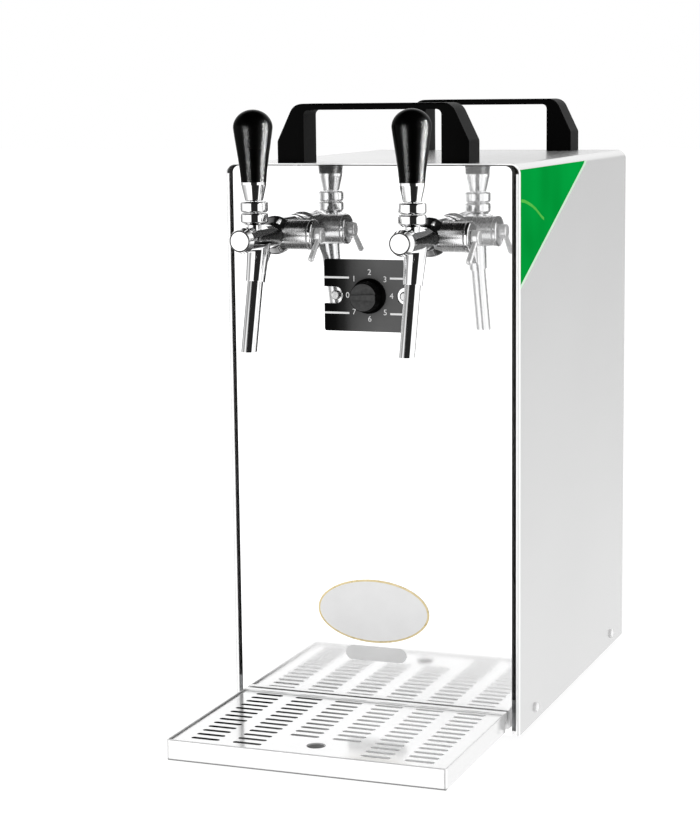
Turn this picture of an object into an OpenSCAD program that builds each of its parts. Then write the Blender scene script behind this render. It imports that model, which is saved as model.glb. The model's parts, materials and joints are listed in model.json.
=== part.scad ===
// Two-tap countertop draft beer dispenser: steel cabinet, cooling unit, taps and drip tray.
// Millimetres, +Z up, +X to the right seen from the front, the front towards -Y.
// Pieces are drawn with y = 0 on the front panel's face and z = 0 on the counter, then
// moved along Y so that the origin lies at the centre of the box's underside.

/* [Cabinet] */
// Width of the cabinet
body_w = 250; // [240:1:280]
// Depth of the cabinet, front panel to the cover's rear edge
body_d = 346; // [340:1:380]
// Height of the cabinet above its feet
body_h = 460; // [455:1:500]
// Thickness of the sheet steel
sheet_t = 1; // [0.8:0.1:1.2]
// Outer radius of the cover's two top bends
top_bend_r = 8; // [6:0.5:12]
// Width of the cover's flanges beside the front panel
side_flange_w = 3; // [2.5:0.5:5]
// Open seam beside the front panel
panel_gap = 3.5; // [2.5:0.5:4.5]
// Open seam above the front panel
panel_top_gap = 0.8; // [0.5:0.1:2]
// Depth of the front panel's folded edge
panel_return = 12; // [8:1:14]
// Height of the base pan's walls
pan_wall_h = 26; // [22:1:32]
// How far the rear panel lies inside the cover
rear_inset = 2; // [1:0.5:4]
// Height of the feet
foot_h = 6; // [4:1:12]
// Diameter of a foot
foot_d = 24; // [18:1:30]
// Distance of a foot's centre from the cabinet's sides
foot_inset = 34; // [28:1:45]
// Distance of the side screws from the cabinet's front and rear
side_screw_inset = 46; // [30:1:60]
// Height of the side screws above the cabinet's lower edge
side_screw_z = 11.5; // [9:0.5:16]

/* [Handles] */
// Length of a handle over its legs
handle_l = 163; // [140:1:180]
// Length of a handle's flat top
handle_top_l = 134; // [100:0.5:136]
// Length of the finger gap
handle_gap_l = 117; // [90:1:122]
// Depth of a handle, front to rear
handle_d = 27; // [20:1:34]
// Height of a handle
handle_h = 47.5; // [40:0.5:60]
// Thickness of the handle's bar
handle_bar_t = 5; // [4:0.5:8]
// Height of the legs' upright part
handle_leg_h = 17.7; // [10:0.5:24]
// Distance of each handle from the cabinet's front or rear edge
handle_inset = 7; // [4:1:20]

/* [Thermostat] */
// Distance of the dial's centre below the cabinet's top
dial_z = 105.5; // [95:0.5:130]
// Width of the dial plate
plate_w = 78; // [70:1:86]
// Height of the dial plate
plate_h = 58; // [50:1:66]
// Thickness of the dial plate
plate_t = 1.6; // [1:0.1:2.5]
// Depth of the notches in the plate's sides
notch_depth = 16; // [14:0.5:18]
// Height of the notches
notch_h = 13.8; // [12:0.2:16]
// Diameter of the knob at the plate
dial_knob_d = 28.5; // [24:0.5:32]
// Diameter of the knob's front face
dial_knob_front_d = 23; // [18:0.5:24]
// Height of the knob
dial_knob_h = 17; // [14:0.5:24]
// Diameter of the thermostat's spindle
spindle_d = 6; // [5:0.5:7]

/* [Taps] */
// Distance between the two taps
tap_spacing = 129.6; // [120:0.2:140]
// Distance of the tap barrels below the cabinet's top
tap_z = 55; // [52:1:64]
// Distance of the lever from the front panel
lever_reach = 81.5; // [80:0.5:86]
// Length of the tap, front panel to the cap's face
tap_l = 111; // [109:0.5:118]
// Distance of the side regulator from the front panel
regulator_reach = 36.5; // [35:0.5:38]
// Largest diameter of the barrel
barrel_d = 31; // [28:0.5:32]
// Diameter of the valve section and its cap
valve_d = 19.6; // [18.5:0.1:20]
// Diameter of the barrel's bore
bore_d = 12; // [11.5:0.1:12.5]
// Diameter of the regulator's side boss
boss_d = 24; // [20:0.5:26]
// Length of the side boss from the barrel's axis
boss_l = 29.5; // [26:0.5:32]
// Length of the regulator lever
regulator_lever_l = 28; // [20:0.5:32]
// Forward lean of the regulator lever from straight down
regulator_lean = 48; // [40:1:55]
// Distance of the spout's axis from the front panel, at the barrel
spout_reach = 72.5; // [71.5:0.5:73.5]
// Forward tilt of the spout
spout_tilt = 15.5; // [12:0.5:18]
// Length of the spout from the barrel's axis
spout_l = 89.7; // [80:0.1:110]
// Outer diameter of the spout
spout_d = 12.3; // [11.5:0.1:13]
// Length of the spout's socket from the barrel's axis
socket_l = 35; // [30:0.5:38]
// Diameter of the lever's nuts
nut_d = 21.5; // [18:0.5:22]
// Height of the lever knob
knob_h = 55.5; // [45:0.5:65]
// Largest diameter of the lever knob
knob_d = 30.6; // [26:0.2:34]

/* [Drip tray] */
// Width of the tray
tray_w = 230; // [200:1:236]
// Reach of the tray in front of the panel
tray_reach = 157; // [150:1:180]
// Height of the tray
tray_h = 17.2; // [15:0.2:22]
// Height of the tray's rim above the cabinet's lower edge
tray_rim_z = 19.9; // [18:0.1:24]
// Radius of the tray's front corners
tray_corner_r = 2.5; // [2:0.5:14]
// Length of a drain slot
slot_l = 24; // [18:0.5:28]
// Width of a drain slot
slot_w = 4.6; // [3:0.2:6]
// Distance between columns of slots
slot_column_pitch = 35.4; // [33:0.2:36]
// Distance between rows of slots
slot_row_pitch = 10.7; // [9:0.1:10.8]
// Diameter of the finger hole
finger_hole_d = 15; // [12:0.5:18]

/* [Cooling unit] */
// Width of the cooling block
block_w = 150; // [146:1:160]
// Depth of the cooling block
block_d = 110; // [100:1:114]
// Height of the cooling block
block_h = 190; // [170:1:194]
// Thickness of the foam around the block
foam_t = 25; // [22:1:26]
// Distance of the foam from the front panel's face
foam_y = 52; // [48:1:54]
// Diameter of the compressor's shell
compressor_d = 116; // [100:1:120]
// Height of the compressor's shell
compressor_h = 140; // [120:1:145]
// Diameter of the fan
fan_d = 140; // [120:1:144]
// Height of the condenser
condenser_h = 182; // [170:1:186]
// Width of the condenser
condenser_w = 184; // [176:1:186]
// Depth of the condenser
condenser_d = 40; // [34:1:42]
// Outer diameter of the beer inlet tubes
inlet_tube_d = 9.5; // [8:0.1:10]
// Reach of the beer inlets behind the cabinet
rear_reach = 18; // [14:1:24]

/* [Hidden] */
$fn = 64;
// Clearances: sheet to sheet, running shaft in its bore, bolt in its hole, tray hook
sheet_fit = 0.3;
shaft_fit = 0.05;
bolt_fit = 0.2;
hook_fit = 0.5;
over = 1;

LEFT = -1;
RIGHT = 1;

// The cabinet's planes
front_shift = (tray_reach - body_d - rear_reach) / 2;
z_bot = foot_h;
z_top = foot_h + body_h;
inner_w = body_w - 2 * sheet_t;
rear_face = body_d - rear_inset;
rear_inside = rear_face - sheet_t;
floor_top = z_bot + sheet_t;
pan_half_w = inner_w / 2 - sheet_fit;
panel_w = body_w - 2 * (side_flange_w + panel_gap);
panel_h = body_h - sheet_t - panel_top_gap;
panel_corner_less = 2.5;
panel_corner_r = top_bend_r - panel_corner_less;
flange_bend_r = 2;
rear_flange_w = 14;
vent_w = 6;
vent_l = 46;
vent_pitch = 13;
vent_column_pitch = 58;
vent_rows = 11;
top_vent_rows = 4;
top_vent_drop = 50;
floor_slot_l = 36;
floor_slot_pitch = 26;
floor_slot_y = 48;
foot_hollow = 1.5;
foot_edge = 2.5;

// Screws of the cabinet
screw_d = 4;
screw_head_d = 8;
screw_head_h = 2.4;
screw_l = 9;
rear_screw_side = 7;
rear_screw_low = 14;
rear_screw_drop = 24;
rear_screw_heights = [rear_screw_low, body_h / 2, body_h - rear_screw_drop];
rear_screw_x = inner_w / 2 - sheet_fit - rear_screw_side;

// Handles and their bolts
handle_bolt_d = 5;
handle_bolt_head_d = 9;
handle_bolt_head_h = 3;
handle_bolt_depth = 14;
handle_corner_r = 5;
handle_top_r = 11;
handle_edge = 1.2;
handle_gap_r = 4;
handle_bolt_x = (handle_l + handle_gap_l) / 4;

// Thermostat
dial_height = z_top - dial_z;
bushing_d = spindle_d + 4;
bushing_out = 3;
thermostat_w = 46;
thermostat_depth = 28;
thermostat_h = 40;
thermostat_edge_r = 3;
terminal_pitch = 12;
terminal_w = 6;
terminal_l = 8;
terminal_t = 0.8;
plate_edge_r = 2;
spindle_in = 14;
spindle_end = 5;
knob_gap = 0.5;
knob_skirt_h = 3;
knob_step_h = 1.5;
pointer_h = 1.6;
pointer_w = 5.2;
pointer_tip_w = 3.2;
plate_screw_x = plate_w / 2 - notch_depth + notch_h / 2 - 0.5;

// Tray and its hook, from the panel outwards
tray_bend_r = 2;
tray_edge_r = 0.9;
tray_top = z_bot + tray_rim_z;
tray_bottom = tray_top - tray_h;
rail_depth = 6;
rail_inset = 12;
rail_w = tray_w - 2 * rail_inset;
lip_gap = 2;
lip_h = 8;
tray_rear = -(rail_depth + hook_fit);
grate_t = 1.2;
grate_drop = 1.6;
grate_top = tray_top - grate_drop;
// the skirt stands clear of the tray's lower bends
grate_fit = tray_bend_r - sheet_t + 0.1;
slot_columns = 6;
slot_rows = 13;
// Rows left out of the two middle columns, around the finger hole
slot_rows_cut = 3;
slot_first_y = -13;
rail_lift = 1;
rail_back_cut = 3;
finger_hole_inset = 27;
finger_hole_y = finger_hole_inset - tray_reach;

// Cooling unit
shelf_margin = 6;
foam_gap = 17;
shelf_t = 1.2;
foam_w = block_w + 2 * foam_t;
foam_d = block_d + 2 * foam_t;
foam_h = block_h + 2 * foam_t;
shelf_w = foam_w + 2 * shelf_margin;
shelf_top = z_top - sheet_t - foam_gap - foam_h;
foam_bore_fit = 0.6;
block_y = foam_y + foam_t;
block_z = shelf_top + foam_t;
beer_line_d = 8;
beer_line_wall = 1;
socket_depth = 12;
inlet_x = 45;
inlet_z = 300;
inlet_body_d = 20;
inlet_flange_d = 28;
inlet_flange_t = 6;
inlet_thread_l = 17;
inlet_stop = 20;
inlet_nut_t = 6;
inlet_ring_w = 5;
inlet_groove_w = 2;
inlet_groove_depth = 1.5;
gland_inset = 26;
gland_x = gland_inset - inner_w / 2;
gland_z = 222;
gland_d = 18;
gland_bore_d = 8;
gland_nut_d = 25;
gland_nut_t = 5;
gland_dome_l = 12;
gland_rim_l = 8;
gland_end_inset = 3;

// Compressor, condenser and fan, from the front to the rear
compressor_z = 19;
compressor_seam = 3;
compressor_seam_h = 4;
compressor_seam_at = 0.55;
compressor_dome_r = 34;
compressor_base_r = 14;
compressor_plate_t = 2.5;
compressor_plate_in = 2;
compressor_plate_x = 14;
compressor_plate_y = 12;
compressor_hole_d = 10;
terminal_cover = [36, 30, 46];
terminal_cover_z = 34;
terminal_cover_out = 14;
compressor_stub_x = compressor_d / 2 + 8;
compressor_stub_d = 10;
compressor_stub_in = 25;
compressor_stub_y = 20;
compressor_stub_z = 120;
grommet_d = 22;
grommet_x = 78;
grommet_y = 44;
grommet_bore_r = 2;
grommet_waist = 2;
grommet_neck_r = 4.8;
grommet_neck_h = 6;
condenser_rear_gap = 7;
condenser_y = rear_inside - condenser_rear_gap - condenser_d;
fin_count = 30;
fin_t = 1;
fin_lift = 6;
condenser_plate_t = 2;
condenser_rows = 6;
condenser_tube_d = 9;
condenser_tube_lift = 2;
fan_z = floor_top + condenser_h / 2;
shroud_t = 12;
shroud_y = condenser_y - shroud_t;
fan_gap = 4;
bracket_t = 3;
shroud_wall = 2;
bracket_reach = 24;
bracket_y = shroud_y - bracket_reach;
bracket_w = 18;
bracket_leg_t = 8;
bracket_hole_d = 12;
motor_d = 62;
motor_l = 38;
motor_gap = 29;
motor_end = 4;
motor_edge_r = 3;
compressor_y = bracket_y - motor_l - motor_gap - compressor_d / 2 - compressor_seam;
fan_shaft_d = 5;
blade_count = 5;
blade_pitch = 32;
hub_d = 34;
hub_l = 14;
hub_edge_r = 2;
hub_shaft_depth = 3;
blade_t = 1.6;
blade_root = 5;
blade_root_w = 14;
blade_tip_front = 17;
blade_tip_rear = 19;
blade_tip_gap = 5;
blade_sweep = 3;
blade_front_r = 7;
blade_rear_r = 9;
hot_pipe_d = 6.4;
capillary_d = 2.6;
suction_d = 8;
condenser_stub = 4;
dryer_d = 19;
dryer_z = 62;
dryer_l = 88;
dryer_x = 74;
dryer_gap = 16;
dryer_neck_l = 6;
dryer_taper_l = 8;
dryer_place = [dryer_x, bracket_y - dryer_gap];
suction_elbow_turn = [35, 25, 0];
pipe_gap = 3;
pipe_level = shelf_top - shelf_t - pipe_gap - suction_d / 2;
pipe_x = 50;
pipe_turn = 22;
side_pipe_x = compressor_stub_x + pipe_turn;
block_port_y = foam_y + foam_d / 2;
pipe_rise_gap = 12;
pipe_rise_y = foam_y + foam_d + pipe_rise_gap;
shelf_hole_fit = 3;
port_sleeve_l = 10;
condenser_row_pitch = condenser_h / condenser_rows;
condenser_tube_y = condenser_y + condenser_d / 2;
condenser_out_x = condenser_w / 2 + condenser_stub;
side_run = 7;
side_run_x = condenser_out_x + side_run;

// Taps, measured forwards from the panel along the barrel
tap_x = tap_spacing / 2;
tap_height = z_top - tap_z;
shank_d = 22;
shank_in = 40;
shank_out = 8;
shank_collar_d = 29;
shank_nut_d = 36;
shank_nut_t = 9;
shank_collar_t = 3;
tail_flange_d = shank_d - 0.6;
tail_flange_t = 2.5;
tail_neck_d = 18;
coupling_d = 28;
coupling_end = 13.5;
coupling_lip = 2.6;
barrel_start = 14;
barrel_end = 42;
barrel_edge_r = 2.5;
valve_start = 45;
cap_l = 7;
cap_rim_l = 1.6;
cap_face_d = 14.6;
cap_groove = 0.5;
cap_plug_l = 4;
valve_end = tap_l - cap_l;
seat_start = 60;
seat_end = 63;
seat_d = 8;
neck_d = 10.8;
neck_top = 11.3;
pivot_up = 9.5;
ball_d = 7.2;
ball_fit = 0.2;
stem_d = 4.2;
thread_d = 6;
tail_d = 3.2;
tail_down = 6.1;
plunger_fit = 0.3;
plunger_groove_d = 5.6;
plunger_groove_w = 5.4;
plunger_land = 2;
plunger_rod_r = 1.8;
plunger_head_l = 3.6;
flat_wall = 1.2;
flat_up = bore_d / 2 + flat_wall;
flat_margin = 2.5;
flat_d = nut_d + 2 * flat_margin;
hub_up = 10.95;
collar_h = 9.3;
collar_cone_h = 2.2;
collar_rim = 0.65;
hollow_gap = 1.9;
hollow_d = neck_d + 2 * hollow_gap;
hollow_h = 3;
thread_up = hub_up + hollow_h;
nut_h = 8.5;
nut_edge_r = 1.8;
nut_gap = 0.3;
ferrule_up = hub_up + collar_h + nut_h + 2 * nut_gap;
ferrule_h = 14.45;
ferrule_d = 14;
knob_up = ferrule_up + ferrule_h;
knob_base_d = 19.7;
knob_thread_l = 16;
socket_top_d = 18.6;
socket_end_d = 15;
spout_stop = 20;
spout_wall = 1.1;
rib_t = 5;
rib_depth = 20;
regulator_spindle_d = 7.6;
eccentric = 2.6;
eccentric_pin_d = 2.2;
pin_tip_x = 3.2;
spindle_inner_x = 6.4;
regulator_cap_t = 3.5;
regulator_cap_d = 25;
regulator_gap = 0.3;
regulator_hub_d = 12;
regulator_lever_t = 5;
regulator_rod_d = 3.6;
regulator_tip_d = 5;
cone_half_l = 8;
cone_tip_l = 5;
cone_tip_r = 2.2;
cone_groove_w = 3.6;
cone_groove_d = 4.8;

// Drawing helpers

// Moves a piece from the cabinet's drawing position to the part's frame
module placed() {
  translate([0, front_shift, 0]) children();
}

// Extrudes a drawing of the XZ plane from y along +Y
module along_y(y, depth) {
  translate([0, y + depth, 0]) rotate([90, 0, 0]) linear_extrude(depth) children();
}

// Extrudes a drawing of the YZ plane across X, centred
module across_x(width) {
  translate([-width / 2, 0, 0]) rotate([90, 0, 90]) linear_extrude(width) children();
}

// Turns a profile of [radius, distance forwards] about a line along Y
module turned_forward() {
  rotate([90, 0, 0]) rotate_extrude() children();
}

// A round bar or bore from y0 to y1
module bar_y(d, y0, y1) {
  translate([0, y0, 0]) rotate([-90, 0, 0]) cylinder(d = d, h = y1 - y0);
}

// A round bar or bore from x0 to x1
module bar_x(d, x0, x1) {
  translate([x0, 0, 0]) rotate([0, 90, 0]) cylinder(d = d, h = x1 - x0);
}

// Upright rectangle with round top corners, standing on its lower edge
module arch_outline(w, h, r) {
  translate([-w / 2, 0]) square([w, h - r]);
  translate([r - w / 2, 0]) square([w - 2 * r, h]);
  for (side = [LEFT, RIGHT]) translate([side * (w / 2 - r), h - r]) circle(r);
}

// Slot with round ends, centred
module slot_outline(l, w) {
  square([l - w, w], center = true);
  for (side = [LEFT, RIGHT]) translate([side * (l - w) / 2, 0]) circle(d = w);
}

function unit(v) = v / norm(v);
function corner_arc(p, c, n, r, k) = r <= 0 ? [c] : let (
  a = unit(p - c), b = unit(n - c), half = acos(a * b) / 2, o = c + unit(a + b) * r / sin(half),
  s = c + a * r / tan(half) - o, e = c + b * r / tan(half) - o,
  start = atan2(s.y, s.x), turn = atan2(s.x * e.y - s.y * e.x, s * e)
) [for (i = [0 : k]) o + r * [cos(start + turn * i / k), sin(start + turn * i / k)]];
function flat(p) = [p.x, p.y];
// Outline through points [x, y, corner radius]
function rounded(pts, k = 6) = let (m = len(pts)) [
  for (i = [0 : m - 1])
    each corner_arc(flat(pts[(i + m - 1) % m]), flat(pts[i]), flat(pts[(i + 1) % m]), pts[i][2], k)
];
// Point of a cubic curve through four control points
function curve_point(a, b, c, d, t) =
  pow(1 - t, 3) * a + 3 * t * pow(1 - t, 2) * b + 3 * t * t * (1 - t) * c + pow(t, 3) * d;
function curve(a, b, c, d, k) = [for (i = [0 : k]) curve_point(a, b, c, d, i / k)];

// A pipe along straight runs with ball elbows
module pipe(points, d, elbow_turn = [0, 0, 0]) {
  for (i = [1 : len(points) - 1]) {
    run = points[i] - points[i - 1];
    translate(points[i - 1])
      rotate([0, acos(run.z / norm(run)), atan2(run.y, run.x)]) cylinder(d = d, h = norm(run), $fn = 24);
    if (i < len(points) - 1) translate(points[i]) rotate(elbow_turn) sphere(d = d, $fn = 24);
  }
}

// Pan-head screw with its head on +Z and its shank down from z = 0
module pan_screw(d, head_d, head_h, l) {
  rotate_extrude() polygon(rounded([
    [0, -l, 0], [d / 2, -l, 0], [d / 2, 0, 0], [head_d / 2, 0, 0],
    [head_d / 2, head_h, head_h * 0.7], [0, head_h, 0]
  ]));
}

// Places a child once for each tap, with the barrel's axis through its origin
module each_tap() {
  for (side = [LEFT, RIGHT]) at_tap(side) children();
}
module at_tap(side) {
  translate([side * tap_x, 0, tap_height]) children();
}

// Cabinet

module rear_screw_places() {
  for (side = [LEFT, RIGHT]) for (h = rear_screw_heights)
    translate([side * rear_screw_x, rear_inside, z_bot + h]) children();
}

module side_screw_places() {
  for (side = [LEFT, RIGHT]) for (y = [side_screw_inset, body_d - side_screw_inset])
    translate([side * body_w / 2, y, z_bot + side_screw_z]) rotate([0, side * 90, 0]) children();
}

module base_pan() {
  color("gainsboro") placed() difference() {
    translate([-pan_half_w, panel_return, z_bot])
      cube([2 * pan_half_w, rear_inside - panel_return, pan_wall_h]);
    translate([-pan_half_w + sheet_t, panel_return + sheet_t, floor_top])
      cube([2 * (pan_half_w - sheet_t), rear_inside - panel_return - 2 * sheet_t, pan_wall_h]);
    // air slots in the floor
    for (i = [-2 : 2]) translate([i * floor_slot_pitch, floor_slot_y, z_bot - over])
      linear_extrude(sheet_t + 2 * over) rotate(90) slot_outline(floor_slot_l, vent_w);
    side_screw_places() cylinder(d = screw_d + bolt_fit, h = 3 * screw_l, center = true);
    rear_screw_places() bar_y(screw_d + bolt_fit, -4 * sheet_t, over);
  }
}

module outer_cover() {
  color("silver") placed() difference() {
    intersection() {
      union() {
        translate([0, 0, z_bot]) along_y(0, body_d) difference() {
          arch_outline(body_w, body_h, top_bend_r);
          translate([0, -over]) arch_outline(inner_w, body_h - sheet_t + over, top_bend_r - sheet_t);
        }
        for (side = [LEFT, RIGHT]) {
          translate([side * (body_w - side_flange_w) / 2, sheet_t / 2, z_bot + (body_h - top_bend_r) / 2])
            cube([side_flange_w, sheet_t, body_h - top_bend_r], center = true);
          translate([side * (body_w - rear_flange_w) / 2, rear_inside - sheet_t / 2,
                     (z_bot + pan_wall_h + sheet_fit + z_top - top_bend_r) / 2])
            cube([rear_flange_w, sheet_t, body_h - top_bend_r - pan_wall_h - sheet_fit], center = true);
        }
      }
      linear_extrude(z_top + over) polygon(rounded([
        [-body_w / 2, 0, flange_bend_r], [body_w / 2, 0, flange_bend_r],
        [body_w / 2, body_d, 0], [-body_w / 2, body_d, 0]
      ]));
    }
    side_screw_places() cylinder(d = screw_d + bolt_fit, h = screw_l, center = true);
    rear_screw_places() bar_y(screw_d + bolt_fit, -3 * sheet_t, over);
    handle_bolt_places() translate([0, 0, -over - sheet_t])
      cylinder(d = handle_bolt_d + bolt_fit, h = sheet_t + 2 * over);
  }
}

// The folded front panel, with holes for the taps and the thermostat
module front_panel() {
  color("whitesmoke") placed() difference() {
    translate([0, 0, z_bot]) along_y(0, panel_return) arch_outline(panel_w, panel_h, panel_corner_r);
    translate([0, 0, z_bot + sheet_t]) along_y(sheet_t, panel_return)
      arch_outline(panel_w - 2 * sheet_t, panel_h - 2 * sheet_t, panel_corner_r - sheet_t);
    each_tap() bar_y(shank_d + bolt_fit, -over, sheet_t + over);
    translate([0, 0, dial_height]) {
      bar_y(bushing_d + bolt_fit, -over, sheet_t + over);
      for (side = [LEFT, RIGHT]) translate([side * plate_screw_x, 0, 0])
        bar_y(screw_d + bolt_fit, -over, sheet_t + over);
    }
  }
}

module rear_panel() {
  color("gainsboro") placed() difference() {
    along_y(rear_inside, sheet_t) difference() {
      translate([0, z_bot])
        arch_outline(inner_w - 2 * sheet_fit, body_h - sheet_t - sheet_fit, top_bend_r - sheet_t);
      for (column = [-1 : 1]) {
        for (row = [0 : vent_rows - 1])
          translate([column * vent_column_pitch, fan_z + (row - (vent_rows - 1) / 2) * vent_pitch])
            slot_outline(vent_l, vent_w);
        for (row = [0 : top_vent_rows - 1])
          translate([column * vent_column_pitch, z_top - top_vent_drop - row * vent_pitch])
            slot_outline(vent_l, vent_w);
      }
      for (side = [LEFT, RIGHT]) translate([side * inlet_x, inlet_z]) circle(d = inlet_body_d + bolt_fit);
      translate([gland_x, gland_z]) circle(d = gland_d + bolt_fit);
    }
    rear_screw_places() bar_y(screw_d + bolt_fit, -over, sheet_t + over);
  }
}

module feet() {
  color("dimgray") placed()
    for (side = [LEFT, RIGHT]) for (y = [foot_inset, body_d - foot_inset])
      translate([side * (body_w / 2 - foot_inset), y, 0]) rotate_extrude() polygon([
        [0, foot_hollow], [foot_d / 4, foot_hollow], [foot_d / 4, 0], [foot_d / 2 - foot_edge, 0],
        [foot_d / 2, foot_h], [0, foot_h]
      ]);
}

module cabinet_screws() {
  color("silver") placed() {
    side_screw_places() pan_screw(screw_d, screw_head_d, screw_head_h, screw_l);
    rear_screw_places() translate([0, sheet_t, 0]) rotate([-90, 0, 0])
      pan_screw(screw_d, screw_head_d, screw_head_h, screw_l);
  }
}

// Handles

module handle_bolt_places() {
  for (y = [handle_inset, body_d - handle_inset - handle_d]) for (side = [LEFT, RIGHT])
    translate([side * handle_bolt_x, y + handle_d / 2, z_top]) children();
}

module handle(y) {
  half = handle_l / 2;
  top = handle_top_l / 2;
  color("#1c1c1e") placed() translate([0, y, z_top]) difference() {
    intersection() {
      along_y(0, handle_d) polygon(rounded([
        [-half, 0, 0], [half, 0, 0], [half, handle_leg_h, handle_corner_r],
        [top, handle_h, handle_top_r], [-top, handle_h, handle_top_r],
        [-half, handle_leg_h, handle_corner_r]
      ]));
      // eased long edges
      translate([-half, 0, 0]) rotate([90, 0, 90]) linear_extrude(handle_l) polygon([
        [0, 0], [handle_d, 0], [handle_d, handle_h - handle_edge], [handle_d - handle_edge, handle_h],
        [handle_edge, handle_h], [0, handle_h - handle_edge]
      ]);
    }
    along_y(-over, handle_d + 2 * over) polygon(rounded([
      [-handle_gap_l / 2, -over, 0], [handle_gap_l / 2, -over, 0],
      [handle_gap_l / 2, handle_h - handle_bar_t, handle_gap_r],
      [-handle_gap_l / 2, handle_h - handle_bar_t, handle_gap_r]
    ]));
    for (side = [LEFT, RIGHT]) translate([side * handle_bolt_x, handle_d / 2, -over])
      cylinder(d = handle_bolt_d + bolt_fit, h = handle_bolt_depth + over);
  }
}

module front_handle() {
  handle(handle_inset);
}

module rear_handle() {
  handle(body_d - handle_inset - handle_d);
}

module handle_screws() {
  color("gray") placed() handle_bolt_places() translate([0, 0, -sheet_t]) rotate([180, 0, 0])
    pan_screw(handle_bolt_d, handle_bolt_head_d, handle_bolt_head_h, handle_bolt_depth + sheet_t - 0.5);
}

// Thermostat

module thermostat_plate() {
  color("#141414") placed() translate([0, 0, dial_height]) along_y(-plate_t, plate_t) difference() {
    polygon(rounded([
      [-plate_w / 2, -plate_h / 2, plate_edge_r], [plate_w / 2, -plate_h / 2, plate_edge_r],
      [plate_w / 2, plate_h / 2, plate_edge_r], [-plate_w / 2, plate_h / 2, plate_edge_r]
    ]));
    for (side = [LEFT, RIGHT]) {
      translate([side * (plate_w / 2 - notch_depth + notch_h / 2), 0]) circle(d = notch_h);
      translate([side * (plate_w / 2 - notch_depth / 2 + notch_h / 4 + over / 2), 0])
        square([notch_depth - notch_h / 2 + over, notch_h], center = true);
    }
    circle(d = bushing_d + bolt_fit);
  }
}

module plate_screws() {
  color("silver") placed() for (side = [LEFT, RIGHT])
    translate([side * plate_screw_x, 0, dial_height]) rotate([90, 0, 0])
      pan_screw(screw_d, screw_head_d, screw_head_h, screw_l);
}

module thermostat() {
  color("ivory") placed() translate([0, 0, dial_height]) difference() {
    union() {
      along_y(sheet_t, thermostat_depth) polygon(rounded([
        [-thermostat_w / 2, -thermostat_h / 2, thermostat_edge_r],
        [thermostat_w / 2, -thermostat_h / 2, thermostat_edge_r],
        [thermostat_w / 2, thermostat_h / 2, thermostat_edge_r],
        [-thermostat_w / 2, thermostat_h / 2, thermostat_edge_r]
      ]));
      bar_y(bushing_d, -plate_t - bushing_out, sheet_t + over);
      // terminals
      for (i = [-1 : 1])
        translate([i * terminal_pitch - terminal_w / 2, sheet_t + thermostat_depth, -terminal_t / 2])
          cube([terminal_w, terminal_l, terminal_t]);
    }
    bar_y(spindle_d + 2 * shaft_fit, -plate_t - bushing_out - over, spindle_in);
  }
}

module thermostat_spindle() {
  color("silver") placed() translate([0, 0, dial_height])
    bar_y(spindle_d, -plate_t - knob_gap - dial_knob_h + spindle_end, spindle_in - sheet_fit);
}

// Tapered knob with a raised pointer, drawn pointing left
module thermostat_knob() {
  base = plate_t + knob_gap;
  front = base + dial_knob_h;
  tip = dial_knob_front_d / 2 - 0.6;
  color("#101010") placed() translate([0, 0, dial_height]) difference() {
    union() {
      turned_forward() polygon(rounded([
        [0, base, 0], [dial_knob_d / 2, base, 0], [dial_knob_d / 2, base + knob_skirt_h, 0.8],
        [dial_knob_front_d / 2 + 1, base + knob_skirt_h + knob_step_h, 0],
        [dial_knob_front_d / 2, front - pointer_h, 1.2], [0, front - pointer_h, 0]
      ]));
      along_y(-front, dial_knob_h - knob_skirt_h) polygon(rounded([
        [-tip, -pointer_tip_w / 2, 0], [tip, -pointer_w / 2, 1],
        [tip, pointer_w / 2, 1], [-tip, pointer_tip_w / 2, 0]
      ]));
    }
    bar_y(spindle_d + 2 * shaft_fit, -base - dial_knob_h + spindle_end, 0);
    bar_y(bushing_d + 2 * over, -plate_t - bushing_out - over, 0);
  }
}

// Drip tray

// Channel on the front panel whose upstand carries the tray's hooked rear lip
module tray_rail() {
  rail_bottom = tray_bottom + rail_lift;
  rail_top = tray_top - sheet_t;
  color("#2a2a2c") placed() difference() {
    across_x(rail_w) translate([-rail_depth, rail_bottom]) square([rail_depth, rail_top - rail_bottom]);
    across_x(rail_w + 2 * over) translate([sheet_t - rail_depth, rail_bottom + sheet_t])
      square([rail_depth - 2 * sheet_t, tray_h]);
    across_x(rail_w + 2 * over) translate([-sheet_t - over, rail_top - rail_back_cut])
      square([2 * over + sheet_t, tray_h]);
  }
}

function tray_outline(inset, rear) = [
  [-tray_w / 2 + inset, -tray_reach + inset, max(tray_corner_r - inset, 0)],
  [tray_w / 2 - inset, -tray_reach + inset, max(tray_corner_r - inset, 0)],
  [tray_w / 2 - inset, rear, 0], [-tray_w / 2 + inset, rear, 0]
];

// The tray's outer or inner form, with bends along its lower edges and an eased rim
module tray_form(inset, top, edge_r) {
  low = tray_bottom + inset;
  front = inset - tray_reach;
  rear = tray_rear - inset;
  half = tray_w / 2 - inset;
  bend = tray_bend_r - inset;
  intersection() {
    translate([0, 0, low]) linear_extrude(top - low) polygon(rounded(tray_outline(inset, rear)));
    across_x(tray_w) polygon(rounded([
      [front, low, bend], [rear, low, 0], [rear, top, 0], [front, top, edge_r]
    ]));
    along_y(front, rear - front) polygon(rounded([
      [-half, low, bend], [half, low, bend], [half, top, edge_r], [-half, top, edge_r]
    ]));
  }
}

module drip_tray() {
  color("whitesmoke") placed() {
    difference() {
      tray_form(0, tray_top, tray_edge_r);
      tray_form(sheet_t, tray_top + over, 0);
    }
    // hooked rear lip
    across_x(tray_w) polygon([
      [tray_rear - sheet_t, tray_top - sheet_t], [-lip_gap - sheet_t, tray_top - sheet_t],
      [-lip_gap - sheet_t, tray_top - lip_h], [-lip_gap, tray_top - lip_h],
      [-lip_gap, tray_top], [tray_rear - sheet_t, tray_top]
    ]);
  }
}

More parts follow.
